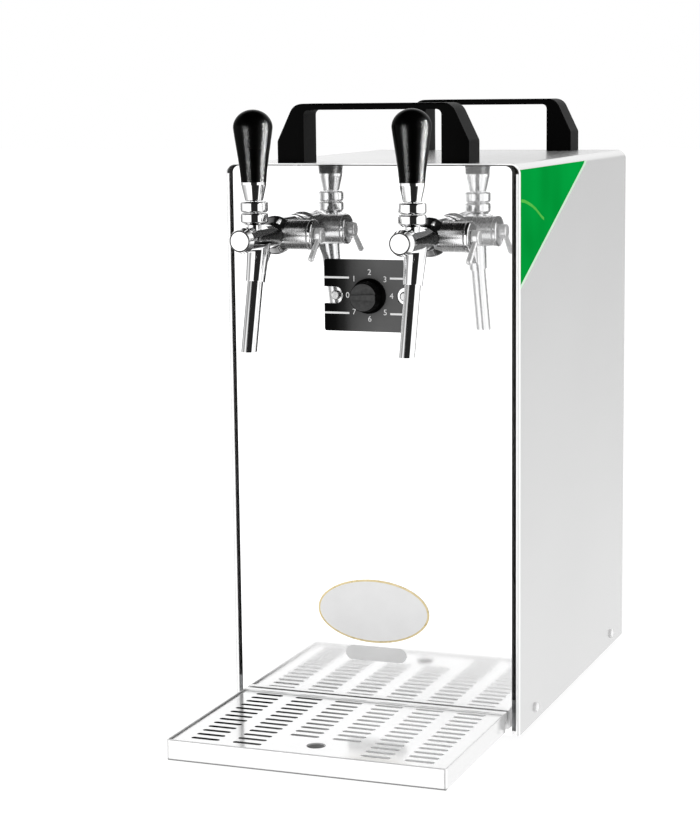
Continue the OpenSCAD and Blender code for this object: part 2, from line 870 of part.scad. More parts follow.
// Slotted lid that stands in the tray on its own skirt, a little below the rim
module drip_grate() {
  inset = sheet_t + grate_fit;
  rear = tray_rear - inset;
  color("gainsboro") placed() difference() {
    translate([0, 0, tray_bottom + sheet_t]) linear_extrude(grate_top - tray_bottom - sheet_t)
      polygon(rounded(tray_outline(inset, rear)));
    translate([0, 0, tray_bottom]) linear_extrude(grate_top - grate_t - tray_bottom)
      polygon(rounded(tray_outline(inset + sheet_t, rear - sheet_t)));
    translate([0, 0, grate_top - grate_t - over]) linear_extrude(grate_t + 2 * over) {
      for (column = [0 : slot_columns - 1]) {
        middle = abs(column - (slot_columns - 1) / 2) < 1;
        for (row = [0 : slot_rows - 1 - (middle ? slot_rows_cut : 0)])
          translate([(column - (slot_columns - 1) / 2) * slot_column_pitch,
                     slot_first_y - row * slot_row_pitch]) slot_outline(slot_l, slot_w);
      }
      translate([0, finger_hole_y]) circle(d = finger_hole_d);
    }
  }
}

// Cooling unit

// Sheet bridge over the compressor that carries the insulated block
module block_shelf() {
  color("lightgray") placed() translate([0, foam_y, 0]) difference() {
    translate([-shelf_w / 2, 0, floor_top]) cube([shelf_w, foam_d, shelf_top - floor_top]);
    translate([-shelf_w / 2 + shelf_t, -over, floor_top - over])
      cube([shelf_w - 2 * shelf_t, foam_d + 2 * over, shelf_top - shelf_t - floor_top + over]);
    for (side = [LEFT, RIGHT]) translate([side * pipe_x, foam_d / 2, shelf_top - shelf_t - over])
      cylinder(d = suction_d + shelf_hole_fit, h = shelf_t + 2 * over);
  }
}

module block_insulation() {
  color("khaki") placed() difference() {
    translate([-foam_w / 2, foam_y, shelf_top]) cube([foam_w, foam_d, foam_h]);
    translate([-block_w / 2, block_y, block_z]) cube([block_w, block_d, block_h]);
    each_tap() bar_y(beer_line_d + foam_bore_fit, foam_y - over, block_y + over);
    for (side = [LEFT, RIGHT]) {
      translate([side * inlet_x, 0, inlet_z])
        bar_y(inlet_tube_d + foam_bore_fit, block_y + block_d - over, foam_y + foam_d + over);
      translate([side * pipe_x, block_port_y, shelf_top - over])
        cylinder(d = suction_d + foam_bore_fit, h = foam_t + 2 * over);
    }
  }
}

module cooling_block() {
  color("lightsteelblue") placed() difference() {
    translate([-block_w / 2, block_y, block_z]) cube([block_w, block_d, block_h]);
    each_tap() bar_y(beer_line_d + 2 * shaft_fit, block_y - over, block_y + socket_depth);
    for (side = [LEFT, RIGHT]) {
      translate([side * inlet_x, 0, inlet_z])
        bar_y(inlet_tube_d + 2 * shaft_fit, block_y + block_d - socket_depth, block_y + block_d + over);
      translate([side * pipe_x, block_port_y, block_z - over])
        cylinder(d = suction_d + 2 * shaft_fit, h = socket_depth + over);
    }
  }
}

module tube_y(d, wall, y0, y1) {
  difference() {
    bar_y(d, y0, y1);
    bar_y(d - 2 * wall, y0 - over, y1 + over);
  }
}

// From the block to the tap shanks
module outlet_lines() {
  color("white") placed() each_tap()
    tube_y(beer_line_d, beer_line_wall, shank_in - socket_depth, block_y + socket_depth);
}

// From the rear inlets to the block
module inlet_lines() {
  color("white") placed() for (side = [LEFT, RIGHT]) translate([side * inlet_x, 0, inlet_z])
    tube_y(inlet_tube_d, beer_line_wall, block_y + block_d - socket_depth,
      rear_face - inlet_thread_l + socket_depth);
}

// Push-in bulkhead fittings for the beer tubes
module beer_inlets() {
  tip = rear_inset + rear_reach;
  ring = tip - inlet_ring_w;
  color("#202022") placed() for (side = [LEFT, RIGHT])
    translate([side * inlet_x, rear_face, inlet_z]) difference() {
      union() {
        bar_y(inlet_body_d, -inlet_thread_l, inlet_flange_t);
        rotate([-90, 0, 0]) cylinder(d = inlet_flange_d, h = inlet_flange_t, $fn = 6);
        bar_y(inlet_body_d, inlet_flange_t, ring);
        bar_y(inlet_body_d - 2 * inlet_groove_depth, ring, ring + inlet_groove_w);
        bar_y(inlet_body_d - inlet_groove_depth, ring + inlet_groove_w, tip);
      }
      bar_y(inlet_tube_d + bolt_fit, tip - inlet_stop, tip + over);
      bar_y(inlet_tube_d - 2 * beer_line_wall, -inlet_thread_l, rear_reach);
      bar_y(inlet_tube_d + 2 * shaft_fit, -inlet_thread_l - over, socket_depth - inlet_thread_l);
    }
}

module hex_nut_y(d, bore, t) {
  difference() {
    rotate([-90, 0, 0]) cylinder(d = d, h = t, $fn = 6);
    bar_y(bore, -over, t + over);
  }
}

module inlet_nuts() {
  color("#202022") placed() for (side = [LEFT, RIGHT])
    translate([side * inlet_x, rear_inside - inlet_nut_t, inlet_z])
      hex_nut_y(inlet_flange_d, inlet_body_d + bolt_fit, inlet_nut_t);
}

module cable_gland() {
  color("#202022") placed() translate([gland_x, rear_face, gland_z]) difference() {
    union() {
      bar_y(gland_d, -sheet_t, over);
      for (y = [-sheet_t - gland_nut_t, 0]) translate([0, y, 0]) rotate([-90, 0, 0])
        cylinder(d = gland_nut_d, h = gland_nut_t, $fn = 6);
      turned_back() polygon([
        [0, gland_nut_t], [gland_d / 2, gland_nut_t], [gland_d / 2, gland_rim_l],
        [gland_d / 2 - gland_end_inset, gland_dome_l], [0, gland_dome_l]
      ]);
    }
    bar_y(gland_bore_d, -2 * gland_nut_t, 2 * gland_dome_l);
  }
}

// Turns a profile of [radius, distance backwards] about a line along Y
module turned_back() {
  mirror([0, 1, 0]) turned_forward() children();
}

// Welded shell with its seam, foot plate, terminal cover and pipe stubs
module compressor() {
  r = compressor_d / 2;
  seam = compressor_h * compressor_seam_at;
  stub = compressor_stub_x - r + compressor_stub_in;
  color("#26282b") placed() translate([0, compressor_y, 0]) {
    translate([0, 0, compressor_z]) rotate_extrude() polygon(rounded([
      [0, 0, 0], [r, 0, compressor_base_r], [r, seam, 0], [r + compressor_seam, seam, 0],
      [r + compressor_seam, seam + compressor_seam_h, 0], [r, seam + compressor_seam_h, 0],
      [r, compressor_h, compressor_dome_r], [0, compressor_h, 0]
    ]));
    difference() {
      translate([0, 0, compressor_z + (compressor_plate_in - compressor_plate_t) / 2]) cube([
        2 * (grommet_x + compressor_plate_x), 2 * (grommet_y + compressor_plate_y),
        compressor_plate_t + compressor_plate_in
      ], center = true);
      for (sx = [LEFT, RIGHT]) for (sy = [-1, 1]) translate([sx * grommet_x, sy * grommet_y, 0])
        cylinder(d = compressor_hole_d, h = 2 * compressor_z);
    }
    translate([-terminal_cover.x / 2, -r - terminal_cover_out, compressor_z + terminal_cover_z])
      cube(terminal_cover);
    for (side = [LEFT, RIGHT])
      translate([side * (compressor_stub_x - stub / 2), compressor_stub_y, compressor_stub_z])
        bar_x(compressor_stub_d, -stub / 2, stub / 2);
  }
}

module compressor_grommets() {
  seat = compressor_z - compressor_plate_t - floor_top;
  color("black") placed() translate([0, compressor_y, 0])
    for (sx = [LEFT, RIGHT]) for (sy = [-1, 1]) translate([sx * grommet_x, sy * grommet_y, floor_top])
      rotate_extrude() polygon([
        [grommet_bore_r, 0], [grommet_d / 2, 0], [grommet_d / 2 - grommet_waist, seat / 2],
        [grommet_d / 2, seat], [grommet_neck_r, seat], [grommet_neck_r, seat + grommet_neck_h],
        [grommet_bore_r, seat + grommet_neck_h]
      ]);
}

// Finned coil between two end plates
module condenser() {
  plate = condenser_plate_t;
  fin_pitch = (condenser_w - 2 * plate) / fin_count;
  color("silver") placed() translate([0, condenser_y, floor_top]) {
    for (i = [0 : fin_count - 1])
      translate([plate - condenser_w / 2 + (i + 0.5) * fin_pitch - fin_t / 2, 0, fin_lift])
        cube([fin_t, condenser_d, condenser_h - fin_lift]);
    for (side = [LEFT, RIGHT]) translate([side * (condenser_w - plate) / 2 - plate / 2, 0, 0])
      cube([plate, condenser_d, condenser_h]);
    for (row = [0 : condenser_rows - 1])
      translate([0, condenser_d / 2, (row + 0.5) * condenser_row_pitch + condenser_tube_lift])
        bar_x(condenser_tube_d, -condenser_out_x, condenser_out_x);
  }
}

// Plate with the fan's opening and the bracket that carries the motor
module fan_shroud() {
  half = condenser_w / 2;
  color("#303236") placed() {
    difference() {
      translate([-half, shroud_y, floor_top]) cube([condenser_w, shroud_t, condenser_h]);
      translate([shroud_wall - half, shroud_y + shroud_wall, floor_top + shroud_wall])
        cube([condenser_w - 2 * shroud_wall, shroud_t, condenser_h - 2 * shroud_wall]);
      translate([0, shroud_y, fan_z]) bar_y(fan_d + 2 * fan_gap, -over, shroud_wall + over);
    }
    for (side = [LEFT, RIGHT])
      translate([side * (half - bracket_leg_t / 2) - bracket_leg_t / 2, bracket_y, fan_z - bracket_w / 2])
        cube([bracket_leg_t, shroud_y - bracket_y, bracket_w]);
    difference() {
      translate([-half, bracket_y, fan_z - bracket_w / 2]) cube([condenser_w, bracket_t, bracket_w]);
      translate([0, bracket_y, fan_z]) bar_y(bracket_hole_d, -over, bracket_t + over);
    }
  }
}

module fan_motor() {
  color("#45484c") placed() translate([0, bracket_y, fan_z]) difference() {
    turned_forward() polygon(rounded([
      [0, 0, 0], [motor_d / 2, 0, motor_edge_r], [motor_d / 2, motor_l * 0.7, motor_edge_r],
      [motor_d / 3, motor_l, motor_edge_r], [0, motor_l, 0]
    ]));
    bar_y(fan_shaft_d + 2 * shaft_fit, -motor_l + motor_end, over);
  }
}

module fan_rotor() {
  hub_y = shroud_y - hub_l / 2 + shroud_wall / 2;
  root = hub_d / 2 - blade_root;
  tip = fan_d / 2 - blade_tip_gap;
  color("#55585c") placed() translate([0, 0, fan_z]) {
    bar_y(fan_shaft_d, bracket_y - motor_l + motor_end + sheet_fit, hub_y + hub_shaft_depth);
    translate([0, hub_y, 0]) turned_back() polygon(rounded([
      [0, 0, 0], [hub_d / 2, 0, hub_edge_r], [hub_d / 2, hub_l, hub_edge_r], [0, hub_l, 0]
    ]));
    for (i = [0 : blade_count - 1]) rotate([0, i * 360 / blade_count, 0])
      translate([0, hub_y + hub_l / 2, 0]) rotate([0, 0, blade_pitch])
        along_y(-blade_t / 2, blade_t) polygon(rounded([
          [-blade_root_w / 2, root, 0], [blade_root_w / 2, root, 0],
          [blade_tip_front, tip - blade_sweep, blade_front_r], [-blade_tip_rear, tip, blade_rear_r]
        ]));
  }
}

// Refrigerant circuit

// Height of the condenser's tube, rows counted from below
function condenser_row_z(row) = floor_top + (row + 0.5) * condenser_row_pitch + condenser_tube_lift;
// End of the compressor's pipe stub on one side
function stub_end(side) = [side * compressor_stub_x, compressor_y + compressor_stub_y, compressor_stub_z];

module hot_gas_pipe() {
  stub = stub_end(RIGHT);
  inlet_height = condenser_row_z(condenser_rows - 1);
  color("peru") placed() pipe([
    stub, [side_pipe_x, stub.y, stub.z], [side_pipe_x, pipe_rise_y, stub.z],
    [side_pipe_x, pipe_rise_y, inlet_height], [side_run_x, pipe_rise_y, inlet_height],
    [side_run_x, condenser_tube_y, inlet_height], [condenser_out_x, condenser_tube_y, inlet_height]
  ], hot_pipe_d);
}

module liquid_pipe() {
  outlet_height = condenser_row_z(0);
  color("peru") placed() pipe([
    [condenser_out_x, condenser_tube_y, outlet_height], [side_run_x, condenser_tube_y, outlet_height],
    [side_run_x, dryer_place.y, outlet_height], [dryer_place.x, dryer_place.y, outlet_height],
    [dryer_place.x, dryer_place.y, dryer_z]
  ], hot_pipe_d);
}

module filter_dryer() {
  inlet = hot_pipe_d / 2 + 1;
  outlet = capillary_d / 2 + 1.5;
  color("peru") placed() translate([dryer_place.x, dryer_place.y, dryer_z]) rotate_extrude() polygon([
    [0, 0], [inlet, 0], [inlet, dryer_neck_l], [dryer_d / 2, dryer_neck_l + dryer_taper_l],
    [dryer_d / 2, dryer_l - dryer_neck_l - dryer_taper_l], [outlet, dryer_l - dryer_neck_l],
    [outlet, dryer_l], [0, dryer_l]
  ]);
}

module capillary_pipe() {
  color("peru") placed() {
    pipe([
      [dryer_place.x, dryer_place.y, dryer_z + dryer_l], [dryer_place.x, dryer_place.y, pipe_level],
      [pipe_x, dryer_place.y, pipe_level], [pipe_x, block_port_y, pipe_level],
      [pipe_x, block_port_y, block_z]
    ], capillary_d);
    translate([pipe_x, block_port_y, block_z - port_sleeve_l])
      cylinder(d = suction_d, h = port_sleeve_l + socket_depth);
  }
}

module suction_pipe() {
  stub = stub_end(LEFT);
  color("peru") placed() pipe([
    stub, [-side_pipe_x, stub.y, stub.z], [-side_pipe_x, stub.y, pipe_level],
    [-side_pipe_x, block_port_y, pipe_level], [-pipe_x, block_port_y, pipe_level],
    [-pipe_x, block_port_y, block_z + socket_depth]
  ], suction_d, suction_elbow_turn);
}

// Taps: each drawing has the barrel's axis through its origin and the panel at y = 0

module tap_shanks() {
  color("silver") placed() each_tap() difference() {
    union() {
      bar_y(shank_d, -shank_out, shank_in);
      turned_forward() polygon(rounded([
        [0, 0, 0], [shank_collar_d / 2, 0, 0], [shank_collar_d / 2, shank_collar_t, 1.2],
        [0, shank_collar_t, 0]
      ]));
    }
    bar_y(beer_line_d + 2 * shaft_fit, shank_in - socket_depth, shank_in + over);
    bar_y(beer_line_d - 2 * beer_line_wall, -shank_out - over, shank_in);
  }
}

module shank_nuts() {
  color("silver") placed() each_tap() translate([0, sheet_t, 0])
    hex_nut_y(shank_nut_d, shank_d + bolt_fit, shank_nut_t);
}

// Ring that draws the tap's tail flange against the shank
module coupling_nuts() {
  start = shank_collar_t + sheet_fit;
  color("silver") placed() each_tap() difference() {
    turned_forward() polygon(rounded([
      [0, start, 0], [coupling_d / 2, start, 1], [coupling_d / 2, coupling_end, 1.6],
      [0, coupling_end, 0]
    ]));
    bar_y(shank_d + bolt_fit, -coupling_end + coupling_lip, 0);
    bar_y(tail_neck_d + bolt_fit, -coupling_end - over, 0);
  }
}

// Runs a child down the spout's axis, drawn along -Z
module along_spout() {
  translate([0, -spout_reach, 0]) rotate([-spout_tilt, 0, 0]) children();
}

module tap_bodies() {
  color("silver") placed() each_tap() tap_body();
}

module tap_body() {
  difference() {
    union() {
      difference() {
        turned_forward() polygon(rounded([
          [0, shank_out, 0], [tail_flange_d / 2, shank_out, 0],
          [tail_flange_d / 2, shank_out + tail_flange_t, 0], [tail_neck_d / 2, shank_out + tail_flange_t, 0],
          [tail_neck_d / 2, barrel_start, 0], [barrel_d / 2, barrel_start, barrel_edge_r],
          [barrel_d / 2, barrel_end, barrel_edge_r], [valve_d / 2, valve_start, 1],
          [valve_d / 2, valve_end, 0], [0, valve_end, 0]
        ]));
        // flat under the lever's collar
        translate([0, -lever_reach, flat_up]) cylinder(d = flat_d, h = barrel_d);
      }
      // regulator boss
      translate([0, -regulator_reach, 0]) rotate([0, 90, 0]) rotate_extrude() polygon(rounded([
        [0, 0, 0], [boss_d / 2, 0, 0], [boss_d / 2, boss_l, 1], [0, boss_l, 0]
      ]));
      // spout socket with its rib
      along_spout() mirror([0, 0, 1]) cylinder(d1 = socket_top_d, d2 = socket_end_d, h = socket_l);
      along_spout() across_x(rib_t) polygon([
        [0, -5], [0, 4 - socket_l], [socket_end_d / 2 + 1, 7 - socket_l], [rib_depth, -valve_d / 2 + 2]
      ]);
      // lever neck
      translate([0, -lever_reach, 0]) cylinder(d = neck_d, h = neck_top);
    }
    bar_y(bore_d, -seat_start, 0);
    bar_y(seat_d, -seat_end - over, -seat_start + over);
    bar_y(bore_d, -valve_end - over, -seat_end);
    translate([0, -regulator_reach, 0]) bar_x(regulator_spindle_d + 2 * shaft_fit, 0, boss_l + over);
    along_spout() mirror([0, 0, 1]) {
      cylinder(d = spout_d - 2 * spout_wall, h = socket_l + over);
      translate([0, 0, spout_stop]) cylinder(d = spout_d + 2 * shaft_fit, h = socket_l);
    }
    // round socket that holds the ball, open below for its tail
    translate([0, -lever_reach, 0]) {
      translate([0, 0, pivot_up]) sphere(d = ball_d + ball_fit);
      cylinder(d = ball_d + 2 * ball_fit, h = pivot_up);
    }
  }
}

// Tapered caps with a ring groove around the face
module front_caps() {
  color("silver") placed() each_tap() turned_forward() polygon(rounded([
    [0, valve_end - cap_plug_l, 0], [bore_d / 2 - shaft_fit, valve_end - cap_plug_l, 0],
    [bore_d / 2 - shaft_fit, valve_end, 0], [valve_d / 2 + 0.2, valve_end, 0.4],
    [valve_d / 2 + 0.2, valve_end + cap_rim_l, 0.8], [cap_face_d / 2 + 2 * cap_groove, tap_l, 0.3],
    [cap_face_d / 2 + cap_groove, tap_l - cap_groove, 0], [cap_face_d / 2, tap_l, 0], [0, tap_l, 0]
  ]));
}

// Tubes in the sockets, cut level at their lower ends
module spouts() {
  drop = spout_l * cos(spout_tilt);
  color("silver") placed() each_tap() difference() {
    along_spout() mirror([0, 0, 1]) translate([0, 0, spout_stop])
      cylinder(d = spout_d, h = spout_l + spout_d - spout_stop);
    along_spout() mirror([0, 0, 1]) cylinder(d = spout_d - 2 * spout_wall, h = spout_l + 2 * spout_d);
    translate([-spout_d, -spout_reach - spout_l, -drop - 2 * spout_d])
      cube([2 * spout_d, 2 * spout_l, 2 * spout_d]);
  }
}

module regulator_caps() {
  r = regulator_cap_d / 2;
  color("silver") placed() each_tap() translate([boss_l, -regulator_reach, 0]) difference() {
    rotate([0, 90, 0]) rotate_extrude() polygon(rounded([
      [0, 0, 0], [r, 0, 0.8], [r, regulator_cap_t, 1.4], [0, regulator_cap_t, 0]
    ]));
    bar_x(regulator_spindle_d + 2 * shaft_fit, -over, regulator_cap_t + over);
  }
}

// Lever: ball, tail and threaded stem turned about the upright axis
module lever_stem(side) {
  color("silver") placed() at_tap(side) translate([0, -lever_reach, 0]) {
    translate([0, 0, pivot_up]) sphere(d = ball_d);
    translate([0, 0, pivot_up - tail_down]) cylinder(d = tail_d, h = tail_down);
    translate([0, 0, pivot_up]) cylinder(d = stem_d, h = thread_up - pivot_up + over);
    translate([0, 0, thread_up]) cylinder(d = thread_d, h = knob_up + knob_thread_l - 1 - thread_up);
  }
}

// Collar, hollow over the body's neck, and lock nut on the stem
module lever_nuts(side) {
  r = nut_d / 2;
  bore = thread_d / 2 + shaft_fit;
  hollow = hollow_d / 2;
  color("silver") placed() at_tap(side) translate([0, -lever_reach, hub_up]) {
    rotate_extrude() polygon(rounded([
      [hollow, 0, 0], [hollow + collar_rim, 0, 0], [r, collar_cone_h, 1.4], [r, collar_h, nut_edge_r],
      [bore, collar_h, 0], [bore, hollow_h, 0], [hollow, hollow_h, 0]
    ]));
    translate([0, 0, collar_h + nut_gap]) rotate_extrude() polygon(rounded([
      [bore, 0, 0], [r, 0, nut_edge_r], [r, nut_h, nut_edge_r], [bore, nut_h, 0]
    ]));
  }
}

module ferrule(side) {
  color("silver") placed() at_tap(side) translate([0, -lever_reach, ferrule_up]) difference() {
    rotate_extrude() polygon(rounded([
      [0, 0, 0], [ferrule_d / 2, 0, 0.6], [knob_base_d / 2, ferrule_h - 2, 0.6],
      [knob_base_d / 2, ferrule_h, 0], [0, ferrule_h, 0]
    ]));
    translate([0, 0, -over]) cylinder(d = thread_d + 2 * shaft_fit, h = ferrule_h + 2 * over);
  }
}

module lever_knob(side) {
  r = knob_d / 2;
  base = knob_base_d / 2;
  shoulder = knob_h * 0.75;
  color("#0c0c0d") placed() at_tap(side) translate([0, -lever_reach, knob_up]) difference() {
    rotate_extrude() polygon(concat(
      [[0, 0]],
      curve([base, 0], [base + 0.9, knob_h * 0.25], [r - 1.2, knob_h * 0.56], [r, shoulder], 12),
      curve([r, shoulder], [r, knob_h * 0.88], [r * 0.58, knob_h], [0, knob_h], 12)
    ));
    translate([0, 0, -over]) cylinder(d = thread_d + 2 * shaft_fit, h = knob_thread_l + over);
  }
}

// Guide piston with the lever's groove, rod and valve head
module plunger(side) {
  r = bore_d / 2 - plunger_fit;
  groove_start = lever_reach - plunger_groove_w / 2;
  groove_end = lever_reach + plunger_groove_w / 2;
  piston_start = groove_start - plunger_land;
  piston_end = valve_end - cap_plug_l - over;
  head = seat_start - plunger_head_l;
  color("goldenrod") placed() at_tap(side) turned_forward() polygon([
    [0, head], [seat_d / 2 + 1, head], [seat_d / 2 + 1, seat_start - 1.4],
    [seat_d / 2 - 1, seat_start - plunger_fit], [plunger_rod_r, seat_start - plunger_fit],
    [plunger_rod_r, piston_start], [r, piston_start], [r, groove_start], [plunger_groove_d / 2, groove_start],
    [plunger_groove_d / 2, groove_end], [r, groove_end], [r, piston_end], [0, piston_end]
  ]);
}

// Turned side lever with a thicker round end, clamped on the regulator's spindle
module regulator_lever(side) {
  start = boss_l + regulator_cap_t + regulator_gap;
  color("silver") placed() at_tap(side) translate([start, -regulator_reach, 0]) difference() {
    rotate([-regulator_lean, 0, 0]) {
      rotate([0, 90, 0]) rotate_extrude() polygon(rounded([
        [0, 0, 0], [regulator_hub_d / 2, 0, 0], [regulator_hub_d / 2, regulator_lever_t + 1, 1.5],
        [0, regulator_lever_t + 1, 0]
      ]));
      translate([(regulator_lever_t + 1) / 2, 0, 0]) mirror([0, 0, 1]) rotate_extrude() polygon(rounded([
        [0, 0, 0], [regulator_rod_d / 2, 0, 0],
        [regulator_tip_d / 2, regulator_lever_l, regulator_tip_d * 0.48], [0, regulator_lever_l, 0]
      ]));
    }
    bar_x(regulator_spindle_d + 2 * shaft_fit, -over, regulator_lever_t - 0.5);
  }
}

// Spindle with the eccentric pin that shifts the cone
module regulator_spindle(side) {
  color("silver") placed() at_tap(side) translate([0, -regulator_reach, 0]) {
    bar_x(regulator_spindle_d, spindle_inner_x,
      boss_l + regulator_cap_t + regulator_gap + regulator_lever_t - 0.8);
    translate([0, 0, -eccentric]) bar_x(eccentric_pin_d, pin_tip_x, spindle_inner_x + over);
  }
}

// Flow cone with the ring groove that the eccentric pin runs in
module regulator_cone(side) {
  r = bore_d / 2 - plunger_fit;
  groove = cone_groove_w / 2;
  color("white") placed() at_tap(side) translate([0, -regulator_reach, 0]) turned_forward() polygon([
    [0, -cone_half_l - cone_tip_l], [cone_tip_r, -cone_half_l - cone_tip_l], [r, -cone_half_l],
    [r, -groove], [cone_groove_d / 2, -groove], [cone_groove_d / 2, groove], [r, groove],
    [r, cone_half_l], [0, cone_half_l]
  ]);
}

module left_lever_stem() { lever_stem(LEFT); }
module right_lever_stem() { lever_stem(RIGHT); }
module left_lever_nuts() { lever_nuts(LEFT); }
module right_lever_nuts() { lever_nuts(RIGHT); }
module left_ferrule() { ferrule(LEFT); }
module right_ferrule() { ferrule(RIGHT); }
module left_knob() { lever_knob(LEFT); }
module right_knob() { lever_knob(RIGHT); }
module left_plunger() { plunger(LEFT); }
module right_plunger() { plunger(RIGHT); }
module left_regulator_lever() { regulator_lever(LEFT); }
module right_regulator_lever() { regulator_lever(RIGHT); }
module left_regulator_spindle() { regulator_spindle(LEFT); }
module right_regulator_spindle() { regulator_spindle(RIGHT); }
module left_regulator_cone() { regulator_cone(LEFT); }
module right_regulator_cone() { regulator_cone(RIGHT); }

base_pan();
outer_cover();
front_panel();
rear_panel();
feet();
cabinet_screws();
front_handle();
rear_handle();
handle_screws();
thermostat_plate();
plate_screws();
thermostat();
thermostat_spindle();
thermostat_knob();
tray_rail();
drip_tray();
drip_grate();
block_shelf();
block_insulation();
cooling_block();
outlet_lines();
inlet_lines();
beer_inlets();
inlet_nuts();
cable_gland();
compressor();
compressor_grommets();
condenser();
fan_shroud();
fan_motor();
fan_rotor();
filter_dryer();
hot_gas_pipe();
liquid_pipe();
capillary_pipe();
suction_pipe();
tap_shanks();
shank_nuts();
coupling_nuts();
tap_bodies();
front_caps();
spouts();
regulator_caps();
left_lever_stem();
left_lever_nuts();
left_ferrule();
left_knob();
right_lever_stem();
right_lever_nuts();
right_ferrule();
right_knob();
left_plunger();
right_plunger();
left_regulator_lever();
right_regulator_lever();
left_regulator_spindle();
right_regulator_spindle();
left_regulator_cone();
right_regulator_cone();
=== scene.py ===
"""Looks of the two-tap countertop draft beer dispenser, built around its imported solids."""

import json
import math

import bmesh
import bpy
from mathutils import Matrix, Vector


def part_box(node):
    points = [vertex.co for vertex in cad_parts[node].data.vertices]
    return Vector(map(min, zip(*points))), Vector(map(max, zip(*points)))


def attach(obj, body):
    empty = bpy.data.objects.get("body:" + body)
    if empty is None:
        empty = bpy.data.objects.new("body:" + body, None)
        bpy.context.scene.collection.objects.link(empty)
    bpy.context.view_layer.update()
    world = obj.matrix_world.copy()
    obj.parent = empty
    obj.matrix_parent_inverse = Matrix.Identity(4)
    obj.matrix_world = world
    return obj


MM = 0.001
FRONT = (Vector((1, 0, 0)), Vector((0, 0, 1)))
RIGHT_SIDE = (Vector((0, 1, 0)), Vector((0, 0, 1)))

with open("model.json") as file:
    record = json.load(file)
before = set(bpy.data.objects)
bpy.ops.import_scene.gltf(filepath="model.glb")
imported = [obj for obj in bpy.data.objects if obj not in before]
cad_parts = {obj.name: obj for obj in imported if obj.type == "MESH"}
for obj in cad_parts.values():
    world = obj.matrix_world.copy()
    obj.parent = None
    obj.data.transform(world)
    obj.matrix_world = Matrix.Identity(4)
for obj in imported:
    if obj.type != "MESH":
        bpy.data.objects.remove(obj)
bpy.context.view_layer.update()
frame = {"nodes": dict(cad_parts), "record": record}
nodes = frame["nodes"]

panel_low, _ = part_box("front_panel")
cover_low, cover_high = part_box("outer_cover")
plate_low, plate_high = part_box("thermostat_plate")
grate_low, grate_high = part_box("drip_grate")
tray_low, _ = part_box("drip_tray")


def center(name):
    low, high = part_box(name)
    return (low + high) / 2


def link(obj):
    bpy.context.scene.collection.objects.link(obj)
    return obj


dial_center = center("thermostat_plate")
tap_x = center("right_knob").x
regulator_axis = center("right_regulator_spindle")
cap_axis = center("front_caps")


# Camera at the photograph's viewing angle

CAMERA_PLACE = Vector((0.5979, -1.7106, 0.5277))
CAMERA_YAW = math.radians(20.99)
CAMERA_PITCH = math.radians(8.89)
CAMERA_ROLL = math.radians(-0.67)
CAMERA_LENS = 91.68
CAMERA_CLIP = 0.01
SENSOR = 36.0


def add_camera():
    data = bpy.data.cameras.new("camera")
    data.sensor_fit = "VERTICAL"
    data.sensor_height = SENSOR
    data.lens = CAMERA_LENS
    data.clip_start = CAMERA_CLIP
    camera = link(bpy.data.objects.new("camera", data))
    forward = Vector((
        -math.sin(CAMERA_YAW) * math.cos(CAMERA_PITCH),
        math.cos(CAMERA_YAW) * math.cos(CAMERA_PITCH),
        -math.sin(CAMERA_PITCH),
    ))
    level = Vector((math.cos(CAMERA_YAW), math.sin(CAMERA_YAW), 0))
    upright = level.cross(forward)
    turn, lean = math.cos(CAMERA_ROLL), math.sin(CAMERA_ROLL)
    right = turn * level + lean * upright
    up = turn * upright - lean * level
    camera.matrix_world = Matrix((
        (right.x, up.x, -forward.x, CAMERA_PLACE.x),
        (right.y, up.y, -forward.y, CAMERA_PLACE.y),
        (right.z, up.z, -forward.z, CAMERA_PLACE.z),
        (0, 0, 0, 1),
    ))
    bpy.context.scene.camera = camera


# Node helpers

# Range that most of a noise's values lie in
NOISE_LOW = 0.3
NOISE_HIGH = 0.7
# First input, second input and output of a mix node
MIX_SOCKETS = {"RGBA": (6, 7, 2), "FLOAT": (2, 3, 0)}


